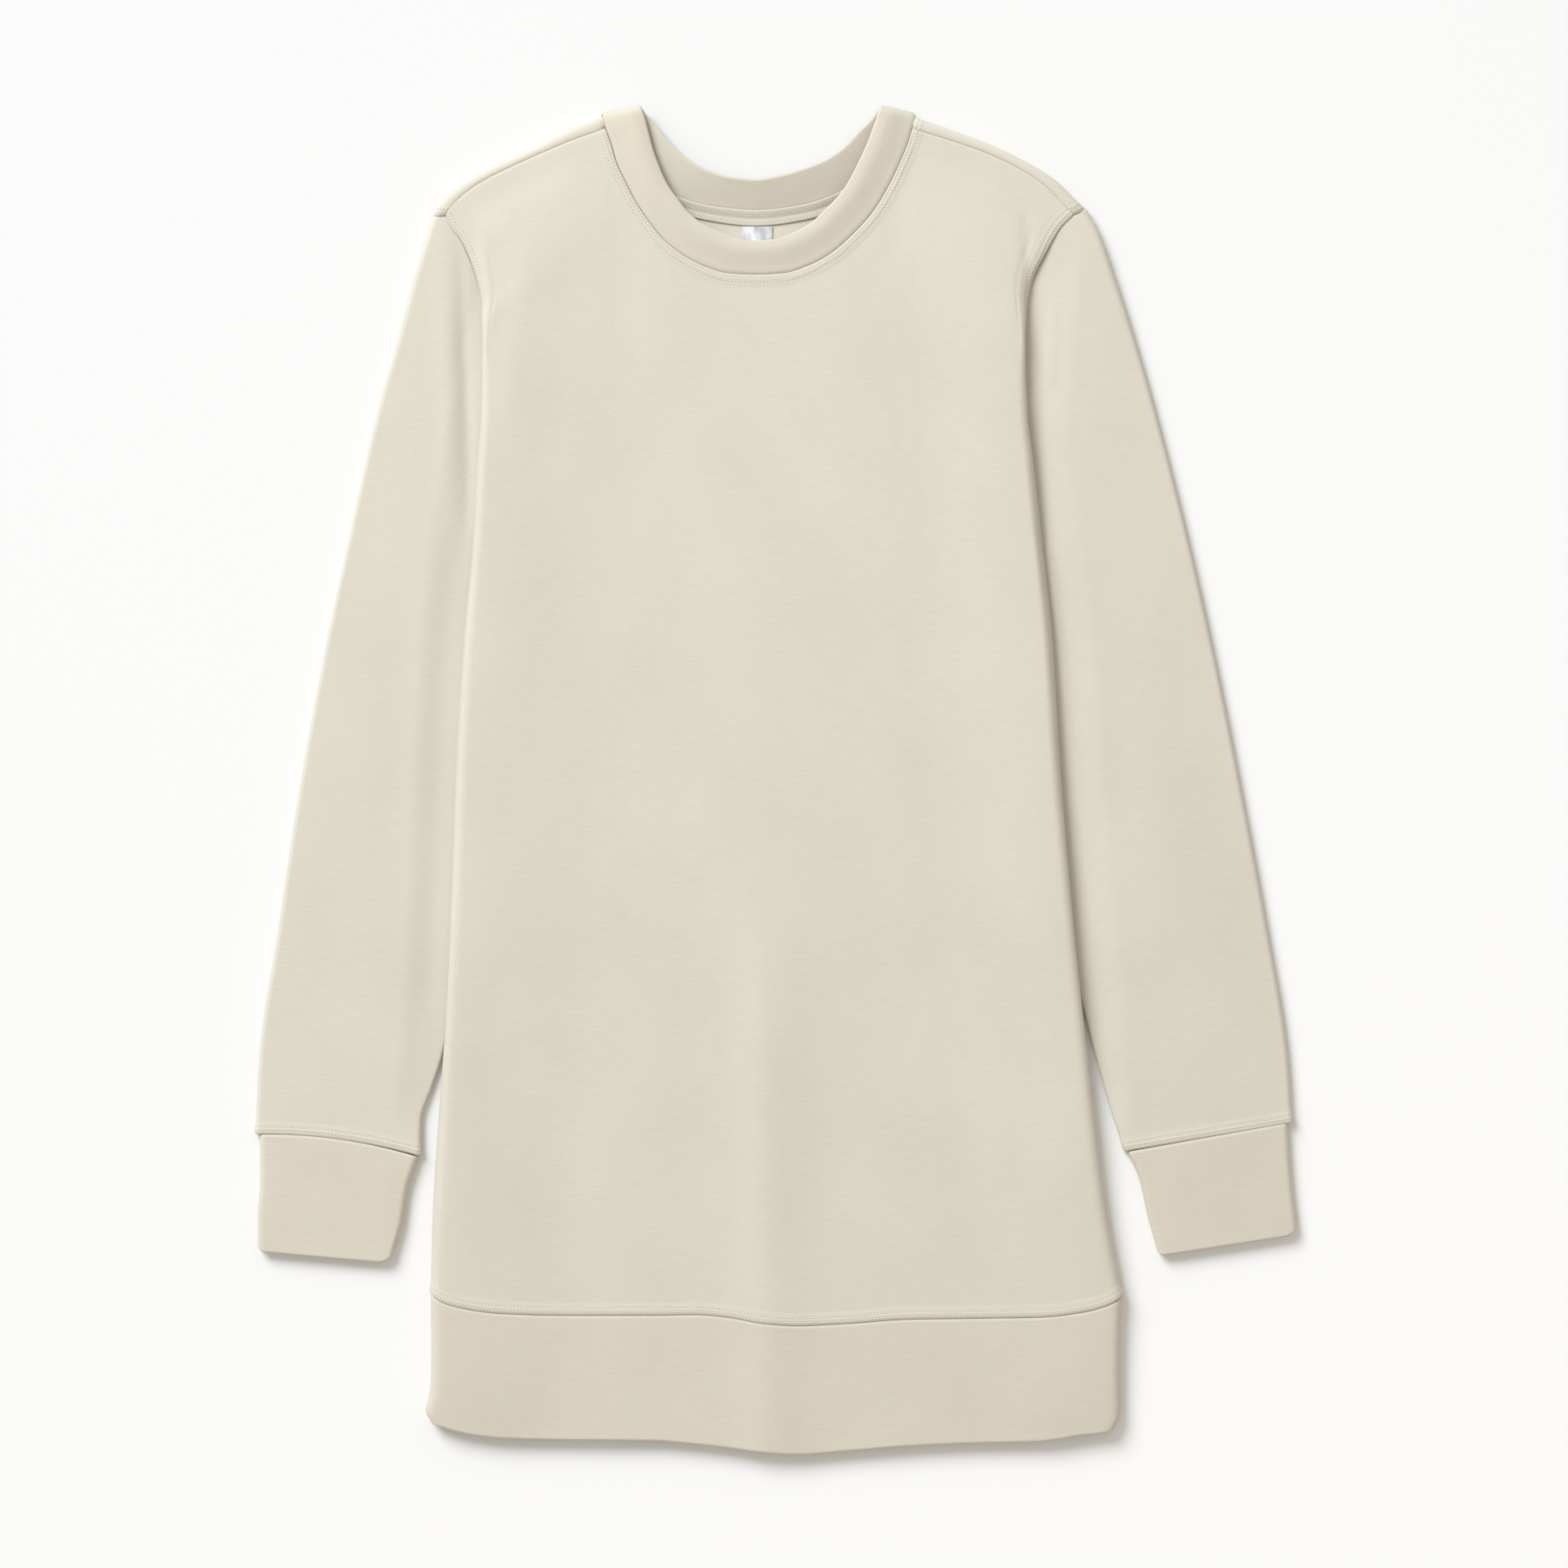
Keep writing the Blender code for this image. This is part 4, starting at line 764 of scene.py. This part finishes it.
def frontGrid():
    # The panel's middle surface: straight columns from the hem to the upper boundary, which bend with
    # the folds beside them, between the two side strips. With it come the places of its columns across,
    # its upper boundary and the y of each row.
    low = spread(9, 0, 566, 0.7, frontPanel["rowStep"])
    y = np.concatenate([low, 566 + spread(0, 9, 97.8, 0.7, 3.0)[1:]]) + bodySide[0].y
    strips, starts = zip(*[frontStrip(side, y) for side in (-1, 1)])
    left, right = strips[0][:, -1], strips[1][:, -1]
    top = frontTop(starts)
    line = np.concatenate([top[0][:-1], top[1], top[2][1:]])
    share = (line[:, 0] - line[0, 0]) / (line[-1, 0] - line[0, 0])
    low = left[0, 0] + (right[0, 0] - left[0, 0]) * share
    hem = smooth(hemRows, "x", "seam", low) + cloth["gap"] / 2
    part = ((left[:, 1] - left[0, 1]) / (left[-1, 1] - left[0, 1]))[:, None]
    x = low + (line[:, 0] - low) * part
    x += (left[:, :1] - x[:, :1]) * (1 - np.minimum(share / frontPanel["bend"], 1)) ** 2
    x += (right[:, :1] - x[:, -1:]) * (1 - np.minimum((1 - share) / frontPanel["bend"], 1)) ** 2
    up = hem + (line[:, 1] - hem) * part
    up += (right[:, 1:2] - up[:, -1:]) * ease((share - 0.85) / 0.15)
    grid = np.stack([x, up, frontHeight(x, up, left[:, :1], right[:, :1], left[:, 2:])], axis=2)
    grid[:, 0], grid[:, -1] = left, right
    whole = np.concatenate([strips[0][:, :-1], grid, strips[1][:, ::-1][:, 1:]], axis=1)
    return whole, share, top, y


def makeFrontPanel():
    # The front: a seam's lift by its distance from the hem, the neck and the armholes, and a plain edge
    # along the shoulders. Returns its rows of stitches and the places of its columns.
    middle, share, top, y = frontGrid()
    x, up = middle[..., 0], middle[..., 1]
    fromHem, fromNeck = along(middle, 0), fromLine(x, up, top[1])
    fromShoulder = np.minimum(fromLine(x, up, top[0]), fromLine(x, up, top[2]))
    lift = seamLift(fromHem) + seamLift(fromNeck) + plainSeam(fromShoulder)
    shows = ease((y - frontPanel["armholeStart"]) / 22)[:, None]
    fromArms = [along(middle[:, ::flip], 1) for flip in (1, -1)]
    for flip, fromArm in zip((1, -1), fromArms):
        lift += (seamLift(fromArm) * (fromArm < 30))[:, ::flip] * shows
    faces = shell("frontPanel", middle, cloth["panel"] / 2, lift, bodyKnit)
    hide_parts("front_panel")

    upsideDown = changed(faces, lambda face: face[::-1])
    above = y > frontPanel["armholeStart"]
    rows = {"hem": [], "neck": [], "armhole": []}
    for row in seam["rows"]:
        rows["hem"].append(rowAt(faces, fromHem, row))
        rows["neck"].append(rowAt(upsideDown, fromNeck[::-1], row))
        for flip, fromArm in zip((1, -1), fromArms):
            sideways = changed(faces, lambda face: np.swapaxes(face[:, ::flip], 0, 1))
            rows["armhole"].append(rowAt(sideways, fromArm.T, row, above))
    return rows, share


backPanel = {
    "shoulderColumns": 26, "neckColumns": 96, "hemShorter": 3.0, "top": 8.5, "tip": 7.0, "turnUp": 333.0,
    "neckRun": 0.6, "neckRise": 0.1, "swell": 2.4, "swellX": -12, "swellWidth": 62, "swellTop": 341.5,
    "swellFoot": 262,
}


def backTop():
    # The back's upper edge, column by column: end points, the direction in which the cloth leaves for
    # them, its turn and its straight run. It comes over the shoulders to its seams, and lies nearly
    # flat along the neck.
    half, neckRun, rise = cloth["panel"] / 2, backPanel["neckRun"], backPanel["neckRise"]
    radius = (backPanel["top"] - half) / 2
    back = follow(backRing, np.linspace(0, 1, backPanel["neckColumns"] + 1))

    def shoulder(table, corner, sleeveTip):
        points = [tuple(row) for row in table[:-1]] + [(corner[0], corner[1], table[-1].strip)]
        points = follow(points, np.linspace(0, 1, backPanel["shoulderColumns"] + 1))
        tangent = unit(np.gradient(points[:, :2], axis=0))
        outward = np.stack([tangent[:, 1], -tangent[:, 0]], axis=1)
        outward *= np.sign(outward[:, 1:])
        fromTip = np.linalg.norm(points[:, :2] - points[0, :2], axis=1)[:, None]
        level = unit(np.array(sleeveTip) - points[0, :2])
        return points, unit(outward + (level - outward) * (1 - ease(fromTip / backPanel["tip"])))

    left, leftOut = shoulder(leftShoulder, back[0], sleeveOuter[-1][0])
    right, rightOut = shoulder(rightShoulder, back[-1], sleeveOuter[1][0])
    low = back[:, 2].min()
    over = np.clip((back[:, 2] - low) / (back[:, 2].max() - low), 0, 1)
    corner = ease((over - 0.9) / 0.1)
    height = half + rise + (backPanel["top"] - half - rise) * over
    into = unit(back[:, 3:5] - back[:, :2])
    fold = np.where(np.arange(len(back))[:, None] < len(back) // 2, leftOut[-1], rightOut[-1])
    out = unit(fold * over[:, None] + into * (1 - over[:, None]))
    whole, lead = np.hypot(radius, neckRun), np.arctan2(neckRun, radius)
    turn = np.degrees(np.arccos(np.clip((radius - height + half) / whole, -1, 1)) - lead)
    turn += (180 - turn) * corner
    run = neckRun + (leftShoulder[-1].strip - half - radius - neckRun) * corner
    neckEnds = np.column_stack([back[:, :2] - into * (cloth["gap"] * (1 - corner))[:, None], height])

    sides = left[:-1], right[-2::-1]
    onShoulder = [np.ones(len(points)) for points in sides]
    tops = [np.column_stack([points[:, :2], backPanel["top"] + 0 * points[:, 0]]) for points in sides]
    runs = [points[:, 2] - half - radius for points in sides]
    ends = np.concatenate([tops[0], neckEnds, tops[1]])
    outward = np.concatenate([leftOut[:-1], out, rightOut[-2::-1]])
    outward = np.column_stack([outward, 0 * outward[:, 0]])
    over = np.concatenate([onShoulder[0], corner, onShoulder[1]])
    ends += outward * (cloth["gap"] * 0.6 * over)[:, None]
    turn = np.concatenate([180 * onShoulder[0], turn, 180 * onShoulder[1]])
    return ends, outward, turn, np.concatenate([runs[0], run, runs[1]]), over


def swelling(x, y):  # how high the back rises in the neck's opening, towards the front's band
    high = backPanel["swell"] * ease((backPanel["swellTop"] - y) / 15)
    high = high * ease((y - backPanel["swellFoot"]) / 50)
    return high * bell((x - backPanel["swellX"]) / backPanel["swellWidth"])


def makeBackPanel():
    # The back: flat beneath the front, and above turnUp bent over to the ends that backTop gives.
    # Returns the rows of stitches that cross its strips at the shoulders.
    half = cloth["panel"] / 2
    ends, outward, turn, run, over = backTop()
    rise = ends[:, 2] - half
    places = np.array([0, 0.03, 0.06, 0.1, 0.15, 0.21, 0.28, 0.36, 0.45, 0.54, 0.63, 0.72, 0.81, 0.9, 1])
    s = stripLength(rise, turn, run)[:, None] * places
    strip = turned(ends, outward, rise, turn, run, s)[:, ::-1]
    foot = strip[:, 0]
    first, turnUp, last = bodySide[0].y, backPanel["turnUp"], foot[0, 1]
    up = np.concatenate([np.linspace(first, 250, 24)[:-1], np.linspace(250, turnUp, 28),
                         np.linspace(turnUp, last, 4)[1:]])
    share = (foot[:, 0] - foot[0, 0]) / (foot[-1, 0] - foot[0, 0])
    top = np.clip((up - turnUp) / (last - turnUp), 0, 1)
    left = (frontSeam(np.minimum(up, turnUp), -1) + 0.8) * (1 - top) + foot[0, 0] * top
    right = (frontSeam(np.minimum(up, turnUp), 1) - 0.8) * (1 - top) + foot[-1, 0] * top
    part = ((up - first) / (last - first))[:, None]
    x = left[:, None] + (right - left)[:, None] * share
    start = first + cloth["gap"] / 2
    y = start + (foot[:, 1] - start) * part
    grid = np.stack([x, y, half + swelling(x, y)], axis=2)
    middle = np.concatenate([grid[:-1], np.swapaxes(strip, 0, 1)])
    fromEnd = along(middle[::-1], 0)[::-1]
    half = half + plainSeam(fromEnd) * over * 0.8
    faces = shell("backPanel", middle, half, 0.0, bodyKnit)
    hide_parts("back_panel")

    rows, count = [], backPanel["shoulderColumns"]
    for flip in (1, -1):
        shown = {"outer": faces["inner"][:, ::flip], "n": -faces["n"][:, ::flip]}
        fromTip = along(middle[:, ::flip], 1)
        ends = (slice(0, count), fromTip[:, :count]), (slice(count, 0, -1), fromTip[:, [count]]
                                                       - fromTip[:, count:0:-1])
        for block, distance in ends:
            part = {key: np.swapaxes(value[:, block], 0, 1) for key, value in shown.items()}
            over = part["n"][1, :, 2] > 0.1
            rows += [rowAt(part, distance.T, row, over) for row in seam["rows"]]
    return rows


hemBand = {"height": 79.0, "tuck": 20.0, "gapDip": 1.4, "flare": {-1: 2.2, 1: 0.8}, "corner": 3.0}


def hemSurface(share, down):
    # The front's hem band: from its seam down to its folded edge, round both folds to its side seams.
    reach, sides = down / hemBand["height"], frontPanel["sideColumns"] - 1
    row = rowsOf(hemSides, "reach", reach)
    strips = []
    for side, name in ((-1, "left"), (1, "right")):
        radius = (row["top"] - row["tuck"]) / 2
        corner = hemBand["flare"][side] * bell((reach - 0.9) / 0.12)
        corner = corner - hemBand["corner"] * ease((reach - 0.9) / 0.1) ** 2
        out = row[name] + side * (corner - cloth["band"] / 2)
        end = np.stack([out - side * (radius + hemBand["tuck"]), 0 * reach, row["tuck"]], axis=1)
        outward = np.stack([side + 0 * reach, 0 * reach, 0 * reach], axis=1)
        turn, run = 180.0 + 0 * reach, hemBand["tuck"] + 0 * reach
        rise = row["tuck"] - row["top"]
        s = stripLength(rise, turn, run)[:, None] * np.linspace(0, 1, sides + 1)
        strips.append(turned(end, outward, rise, turn, run, s))
    left, right = strips[0], strips[1][:, ::-1]
    flat = left[:, -1:, 0] + (right[:, :1, 0] - left[:, -1:, 0]) * share
    x, z = (np.concatenate([left[:, :-1, k], flat, right[:, 1:, k]], axis=1) for k in (0, 2))
    front = slice(sides, sides + len(share))
    over = z[0] > (row["top"][0] + row["tuck"][0]) / 2
    over[front] = True
    plan = np.where(over, x, np.where(x < 0, hemRows[0].x, hemRows[-1].x))
    start, edge = smooth(hemRows, "x", "seam", plan), smooth(hemRows, "x", "edge", plan)
    y = start + (edge - start) * reach[:, None] - cloth["gap"] / 2
    z[:, front] = frontHeight(flat, y[:, front], left[:, -1:, 0], right[:, :1, 0], row["top"][:, None])
    return np.stack([x, y, z], axis=2)


def makeHemBands(share):
    # The doubled bands: the front's on hemSurface, and the back's flat behind it, between its tucks.
    down = foldPlaces(hemBand["height"], cloth["band"], 0.55, 2.0)
    middle = hemSurface(share, down)
    half = foldedHalf(hemBand["height"] - down, cloth["band"])[:, None]
    lift = plainSeam(down)[:, None] * hemBand["gapDip"]
    faces = shell("hemBandFront", middle, half, lift, bandKnit, facing=-1)
    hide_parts("hem_band_front")

    reach = (down / hemBand["height"])[:, None]
    row = rowsOf(hemSides, "reach", reach)
    inset = cloth["band"] / 2 + hemBand["tuck"] + cloth["gap"] + (row["top"] - row["tuck"]) / 2
    left, right = row["left"] + inset, row["right"] - inset
    x = left + (right - left) * np.linspace(0, 1, 61)
    top = bodySide[0].y - cloth["gap"] / 2
    y = top + (smooth(hemRows, "x", "edge", x) + backPanel["hemShorter"] - top) * reach
    middle = np.stack([x, y, np.full_like(y, cloth["band"] / 2)], axis=2)
    faces = shell("hemBandBack", middle, half, lift, bandKnit, facing=-1)
    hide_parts("hem_band_back")


sleeve = {
    "pressed": 2.6, "open": 5.0, "crown": 0.4, "liftOff": 8.0, "rise": 20.0, "bow": 3.8,
    "armholeTop": 347.6, "armholeFoot": 160.0,
}
cuff = {"open": 5.0, "length": 70.0, "gapDip": 1.4, "corner": {-1: (3.0, 8.0), 1: (6.0, 3.0)}}


def flatTube(outer, inner, shares, height, floor):
    # Rings of a flattened tube: outer and inner are its edges in plan, one row for each ring; shares are
    # the places across it, and height(share) the distance between the middles of its two layers.
    angle = np.radians(np.linspace(0, 90, 9))
    width = np.linalg.norm(inner - outer, axis=1)[:, None]
    near = [(1 - np.cos(angle)) * height(np.full_like(width, s)) / 2 / width for s in (0.0, 1.0)]
    share = np.concatenate([near[0], shares + 0 * width, 1 - near[1][:, ::-1]], axis=1)
    half = height(share) / 2
    bend = np.concatenate([np.sin(angle), np.ones(len(shares)), np.sin(angle)[::-1]])
    upper, lower = floor + half + half * bend, (floor + half - half * bend)[:, -2:0:-1]
    share = np.concatenate([share, share[:, -2:0:-1]], axis=1)
    plan = outer[:, None] + (inner - outer)[:, None] * share[..., None]
    return share, plan, np.concatenate([upper, lower], axis=1)


def tubeEdges(tables, starts, ends, at, side, thickness):
    # A tube's outer and inner edges in plan, half its wall inside the outlines, at shares of their run
    # from the rows starts to the rows ends.
    edges = []
    for table, start, end, sign in zip(tables, starts, ends, (-1, 1)):
        y = start.y + (end.y - start.y) * at
        x = smooth(table, "y", "x", y) + side * sign * thickness / 2
        edges.append(np.column_stack([x, y]))
    return edges


def makeSleeve(side):
    # A sleeve: rings from the cuff to the armhole, pressed beneath the body, open beside it and as high
    # as sleeveCap at the last, whose plan runs along the armhole. Returns its stitches' rows.
    word = "left" if side < 0 else "right"
    tables = sleeveOuter[side], sleeveInner[side]
    up = spread(9, 6, 600, 0.7, 6.0) / 600
    starts, ends = zip(*[(table[-1], table[0]) for table in tables])
    outer, inner = tubeEdges(tables, starts, ends, up, side, cloth["panel"])
    topY, lowY = tables[0][0].y, sleeve["armholeFoot"]

    def outside(x, y):  # how far a place lies beside the body's fold
        return side * (x - smooth(bodySide, "y", word, y))

    def height(share):
        plan = outer[:, None] + (inner - outer)[:, None] * share[..., None]
        free = ease((outside(plan[..., 0], plan[..., 1]) - sleeve["liftOff"]) / sleeve["rise"])
        free += (1 - free) * ease(1 - up / 0.1)[:, None]
        crown = sleeve["crown"] * np.sin(np.pi * np.clip(share, 0, 1))
        usual = sleeve["pressed"] + (sleeve["open"] + crown - sleeve["pressed"]) * free
        cap = smooth(sleeveCap, "y", "height", topY + (lowY - topY) * share) - cloth["panel"] / 2
        return usual + (cap - usual) * ease((up - 0.8) / 0.2)[:, None]

    shares = np.concatenate([[0.024, 0.031, 0.038, 0.045, 0.052, 0.062], np.linspace(0.075, 0.965, 52)])
    share, plan, z = flatTube(outer, inner, shares, height, cloth["panel"] / 2)
    at = np.linspace(sleeve["armholeTop"], lowY, 60)
    armhole = np.column_stack([frontSeam(at, side) + side * cloth["gap"] / 2, at])
    armhole = np.concatenate([outer[-1:], armhole])
    armhole = readLine(armhole, share[-1] * wayAlong(armhole)[-1])
    plan = plan + (armhole - plan[-1]) * ease((up - 0.62) / 0.38)[:, None, None]
    if side < 0:
        plan[..., 1] += sleeve["bow"] * 4 * share * (1 - share) * ease(1 - up / 0.25)[:, None]
    middle = np.swapaxes(np.dstack([plan, z]), 0, 1)
    x, y = middle[..., 0], middle[..., 1]
    upper = ease((side * normals(middle, True)[..., 2] - 0.2) / 0.6) * ease((outside(x, y) + 1) / 7)
    middle[..., 2] += creased(x, y, sleeveCreases[side]) * upper
    fromCuff, fromArm = along(middle, 1), along(middle[:, ::-1], 1)[:, ::-1]
    lift = seamLift(fromCuff) + plainSeam(fromArm)
    faces = shell(word + "Sleeve", middle, cloth["panel"] / 2, lift, bodyKnit,
                  facing=side, closed=True)
    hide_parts("sleeve_" + word)
    quarter = middle.shape[0] // 4
    sideways = changed(faces, lambda face: np.roll(np.swapaxes(face, 0, 1), quarter, 1))
    shown = sideways["n"][3, :, 2] > -0.35
    return [rowAt(sideways, np.roll(fromCuff.T, quarter, 1), row, shown) for row in seam["rows"]]


def makeCuff(side):
    # A cuff: rings from the sleeve's end to its folded edge, whose two corners are quarter circles.
    word = "left" if side < 0 else "right"
    places = foldPlaces(cuff["length"], cloth["cuff"], 0.6, 4.0)
    down = places / cuff["length"]
    tables = cuffOuter[side], cuffInner[side]
    sleeves = sleeveOuter[side][-1], sleeveInner[side][-1]
    starts = [row._replace(y=row.y - cloth["gap"]) for row in sleeves]
    outer, inner = tubeEdges(tables, starts, [table[-1] for table in tables], down, side, cloth["cuff"])

    def height(share):
        return cuff["open"] + sleeve["crown"] * np.sin(np.pi * np.clip(share, 0, 1))

    share, plan, z = flatTube(outer, inner, np.linspace(0.04, 0.96, 32), height, cloth["cuff"] / 2)
    if side < 0:
        plan[..., 1] += sleeve["bow"] * 4 * share * (1 - share) * ease(1 - down / 0.6)[:, None]
    width = np.linalg.norm(inner - outer, axis=1)[:, None]
    for radius, place in zip(cuff["corner"][side], (share, 1 - share)):
        near = 1 - np.clip(place * width / radius, 0, 1)
        plan[..., 1] += radius * (1 - np.sqrt(1 - near * near)) * ease((down - 0.55) / 0.45)[:, None]
    middle = np.swapaxes(np.dstack([plan, z]), 0, 1)
    upper = ease((-side * normals(middle, True)[..., 2] - 0.2) / 0.6)
    middle[..., 2] += creased(middle[..., 0], middle[..., 1], cuffCreases[side]) * upper
    half = foldedHalf(cuff["length"] - places, cloth["cuff"])[None]
    faces = shell(word + "Cuff", middle, half, plainSeam(places)[None] * cuff["gapDip"], bandKnit,
                  facing=-side, closed=True)
    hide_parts("cuff_" + word)


neckBand = {"crown": 1.5, "width": 21.0, "thinner": 0.26, "frontSections": 150, "backSections": 130}
tape = {
    "onBack": 8.0, "onBand": 1.6, "stitches": (1.9, 7.4), "furrow": 0.18, "edge": 0.12,
    "reach": (-8.0, -4.0, -1.5, 0.4, 1.6), "rise": (2.4, 2.4, 3.3, 3.95, 4.28),
}
label = {"x": -12.0, "width": 18.5, "height": 36.0, "crown": 0.35}


def bandPoints(sections, across):
    # The neckband's middle surface at each section, from its seam to its folded edge, crowned in front.
    start, edge = sections[:, :3].copy(), sections[:, 3:]
    start += unit(edge - start) * cloth["gap"]
    points = start[:, None] + (edge - start)[:, None] * across[None, :, None]
    front = ease((sections[:, 2] - 6.0) / 2.5)[:, None]
    crown = ease((across - 0.1) / 0.65) - ease((across - 0.7) / 0.4)
    points[..., 2] += neckBand["crown"] * front * crown
    return points


def makeNeckband():
    # The neckband: a doubled ring on bandPoints, thinner where the seam holds it.
    front = follow(frontRing, np.linspace(0, 1, neckBand["frontSections"] + 1))
    back = follow(backRing, np.linspace(0, 1, neckBand["backSections"] + 1))
    places = foldPlaces(neckBand["width"], cloth["band"], 0.45, 1.5)
    middle = bandPoints(np.concatenate([front[:-1], back[:-1]]), places / neckBand["width"])
    half = foldedHalf(neckBand["width"] - places, cloth["band"])
    half = half - neckBand["thinner"] * (1 - ease(places / 3))
    faces = shell("neckBand", middle, half[None], plainSeam(places)[None], bandKnit, closed=True)
    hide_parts("neckband")


def makeTape():
    # The tape over the back neck's seam, from the back panel up onto the neckband's foot: the height
    # of its middle follows the table of reach and rise.
    sections = follow(backRing, np.linspace(0, 1, 180))
    sections = sections[sections[:, 2] < 1.9]
    into = unit(sections[:, 3:] - sections[:, :3])
    total = tape["onBack"] + tape["onBand"]
    places = np.concatenate([[0, 0.25], np.linspace(0.6, total - 0.6, 21), [total - 0.25, total]])
    reach = places - tape["onBack"]
    middle = sections[None, :, :3] + into[None] * reach[:, None, None]
    rise = cubic(np.array(tape["reach"]), np.array(tape["rise"]), reach)
    middle[..., 2] = rise[:, None] + (sections[:, 2] - 1.6)
    fromEdge = np.minimum(places, total - places)
    lift = tape["edge"] * ease(fromEdge / 1.2) - tape["edge"] * (1 - ease(fromEdge / 0.5))
    for row in tape["stitches"]:
        lift = lift - tape["furrow"] * bell((places - row) / seam["furrowWidth"])
    faces = shell("backNeckTape", middle, cloth["tape"] / 2, lift[:, None], tapeKnit)
    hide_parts("back_neck_tape")
    distance = np.broadcast_to(places[:, None], middle.shape[:2])
    return [rowAt(faces, distance, row) for row in tape["stitches"]]


def makeLabel():
    # The bare label hangs from the tape, flat inside the back, a little crowned at its lower end.
    back = follow(backRing, np.linspace(0, 1, 180))
    x = label["x"] + label["width"] * np.linspace(-0.5, 0.5, 25)
    top = np.interp(label["x"], back[:, 0], back[:, 1]) - tape["onBack"] - cloth["gap"]
    down = np.linspace(1, 0, 33)[:, None]
    y = top - label["height"] * down + 0 * x
    z = cloth["panel"] + cloth["gap"] + cloth["label"] / 2
    z = z + label["crown"] * bell((x - label["x"]) / 7) * down
    middle = np.stack([x + 0 * y, y, z + swelling(x, y)], axis=2)
    faces = shell("satinLabel", middle, cloth["label"] / 2, 0.0, labelSatin)
    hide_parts("label")


rows, share = makeFrontPanel()
print("front panel made")
stripRows = makeBackPanel()
makeHemBands(share)
print("back panel and hem bands made")
cuffRows = [row for side in (-1, 1) for row in makeSleeve(side)]
makeCuff(-1)
makeCuff(1)
print("sleeves and cuffs made")
makeNeckband()
tapeRows = makeTape()
makeLabel()
print("neck made")
sew("hemStitches", rows["hem"])
sew("neckStitches", rows["neck"])
sew("armholeStitches", rows["armhole"])
sew("shoulderStitches", stripRows)
sew("cuffStitches", cuffRows)
sew("tapeStitches", tapeRows)


# The floor's colour is painted lighter away from the key and darker towards it, by up to the given share.
studio = {
    "floor": (0.872, 0.868, 0.862), "floorSize": 12, "floorPaintedLight": (0.105, -0.145), "floorPaintedMost": 0.14,
    "key": 340, "keyHeight": 38, "keyTurn": 38, "keyDistance": 6.0, "keySize": 3.3,
    "keyColour": (0.955, 1.0, 1.06), "sky": 0.585, "skyColour": (1.0, 0.955, 0.89),
    "camera": (0.0045, -0.00275, 2.693), "lens": 100,
}


def makeStudio():
    # A pale floor whose colour is painted lighter away from the key light and darker towards it, a painted
    # light that evens out the key's falloff; a large soft key light from the upper left at these degrees of
    # height and turn, a weak even sky, and the camera straight above.
    scene = bpy.context.scene
    bpy.ops.mesh.primitive_plane_add(size=studio["floorSize"], location=(0, 0, -0.0001))
    floor = bpy.context.active_object
    floor.name = "floor"
    paper = Finish("paleFloor", 0.9)
    place = paper.node("ShaderNodeTexCoord", {}, {}, 3)
    grain = paper.node("ShaderNodeTexNoise", {}, {"Vector": place, "Scale": 300.0})
    x, y = (paper.node("ShaderNodeSeparateXYZ", {}, {0: place}, k) for k in (0, 1))
    # painted light: the floor's colour grows lighter away from the key and darker towards it, evening out
    # the key's falloff
    paintedLight = x * studio["floorPaintedLight"][0] + y * studio["floorPaintedLight"][1]
    most = studio["floorPaintedMost"]
    ends = [tuple(np.array(studio["floor"]) * (1 + k)) for k in (-most, most)]
    colour = paper.between(*ends, paintedLight / (2 * most) + 0.5 + (grain - 0.5) * 0.02)
    floor.data.materials.append(paper.paint(colour, grain, 0.0001, 0.1))

    key = bpy.data.lights.new("key", "AREA")
    key.shape, key.size, key.energy = "DISK", studio["keySize"], studio["key"]
    key.color = studio["keyColour"]
    height, turn = np.radians(studio["keyHeight"]), np.radians(studio["keyTurn"])
    level = np.cos(height) * studio["keyDistance"]
    lamp = bpy.data.objects.new("key", key)
    lamp.location = (-np.sin(turn) * level, np.cos(turn) * level, np.sin(height) * studio["keyDistance"])
    lamp.rotation_euler = (height - np.pi / 2, 0, turn)
    scene.collection.objects.link(lamp)

    sky = bpy.data.worlds.new("softLight")
    sky.use_nodes = True
    sky.node_tree.nodes["Background"].inputs["Color"].default_value = (*studio["skyColour"], 1)
    sky.node_tree.nodes["Background"].inputs["Strength"].default_value = studio["sky"]
    scene.world = sky
    scene.view_settings.view_transform = "Standard"

    eye = bpy.data.cameras.new("camera")
    eye.lens, eye.sensor_width = studio["lens"], 36
    camera = bpy.data.objects.new("camera", eye)
    camera.location = studio["camera"]
    scene.collection.objects.link(camera)
    scene.camera = camera


makeStudio()
print("studio made")
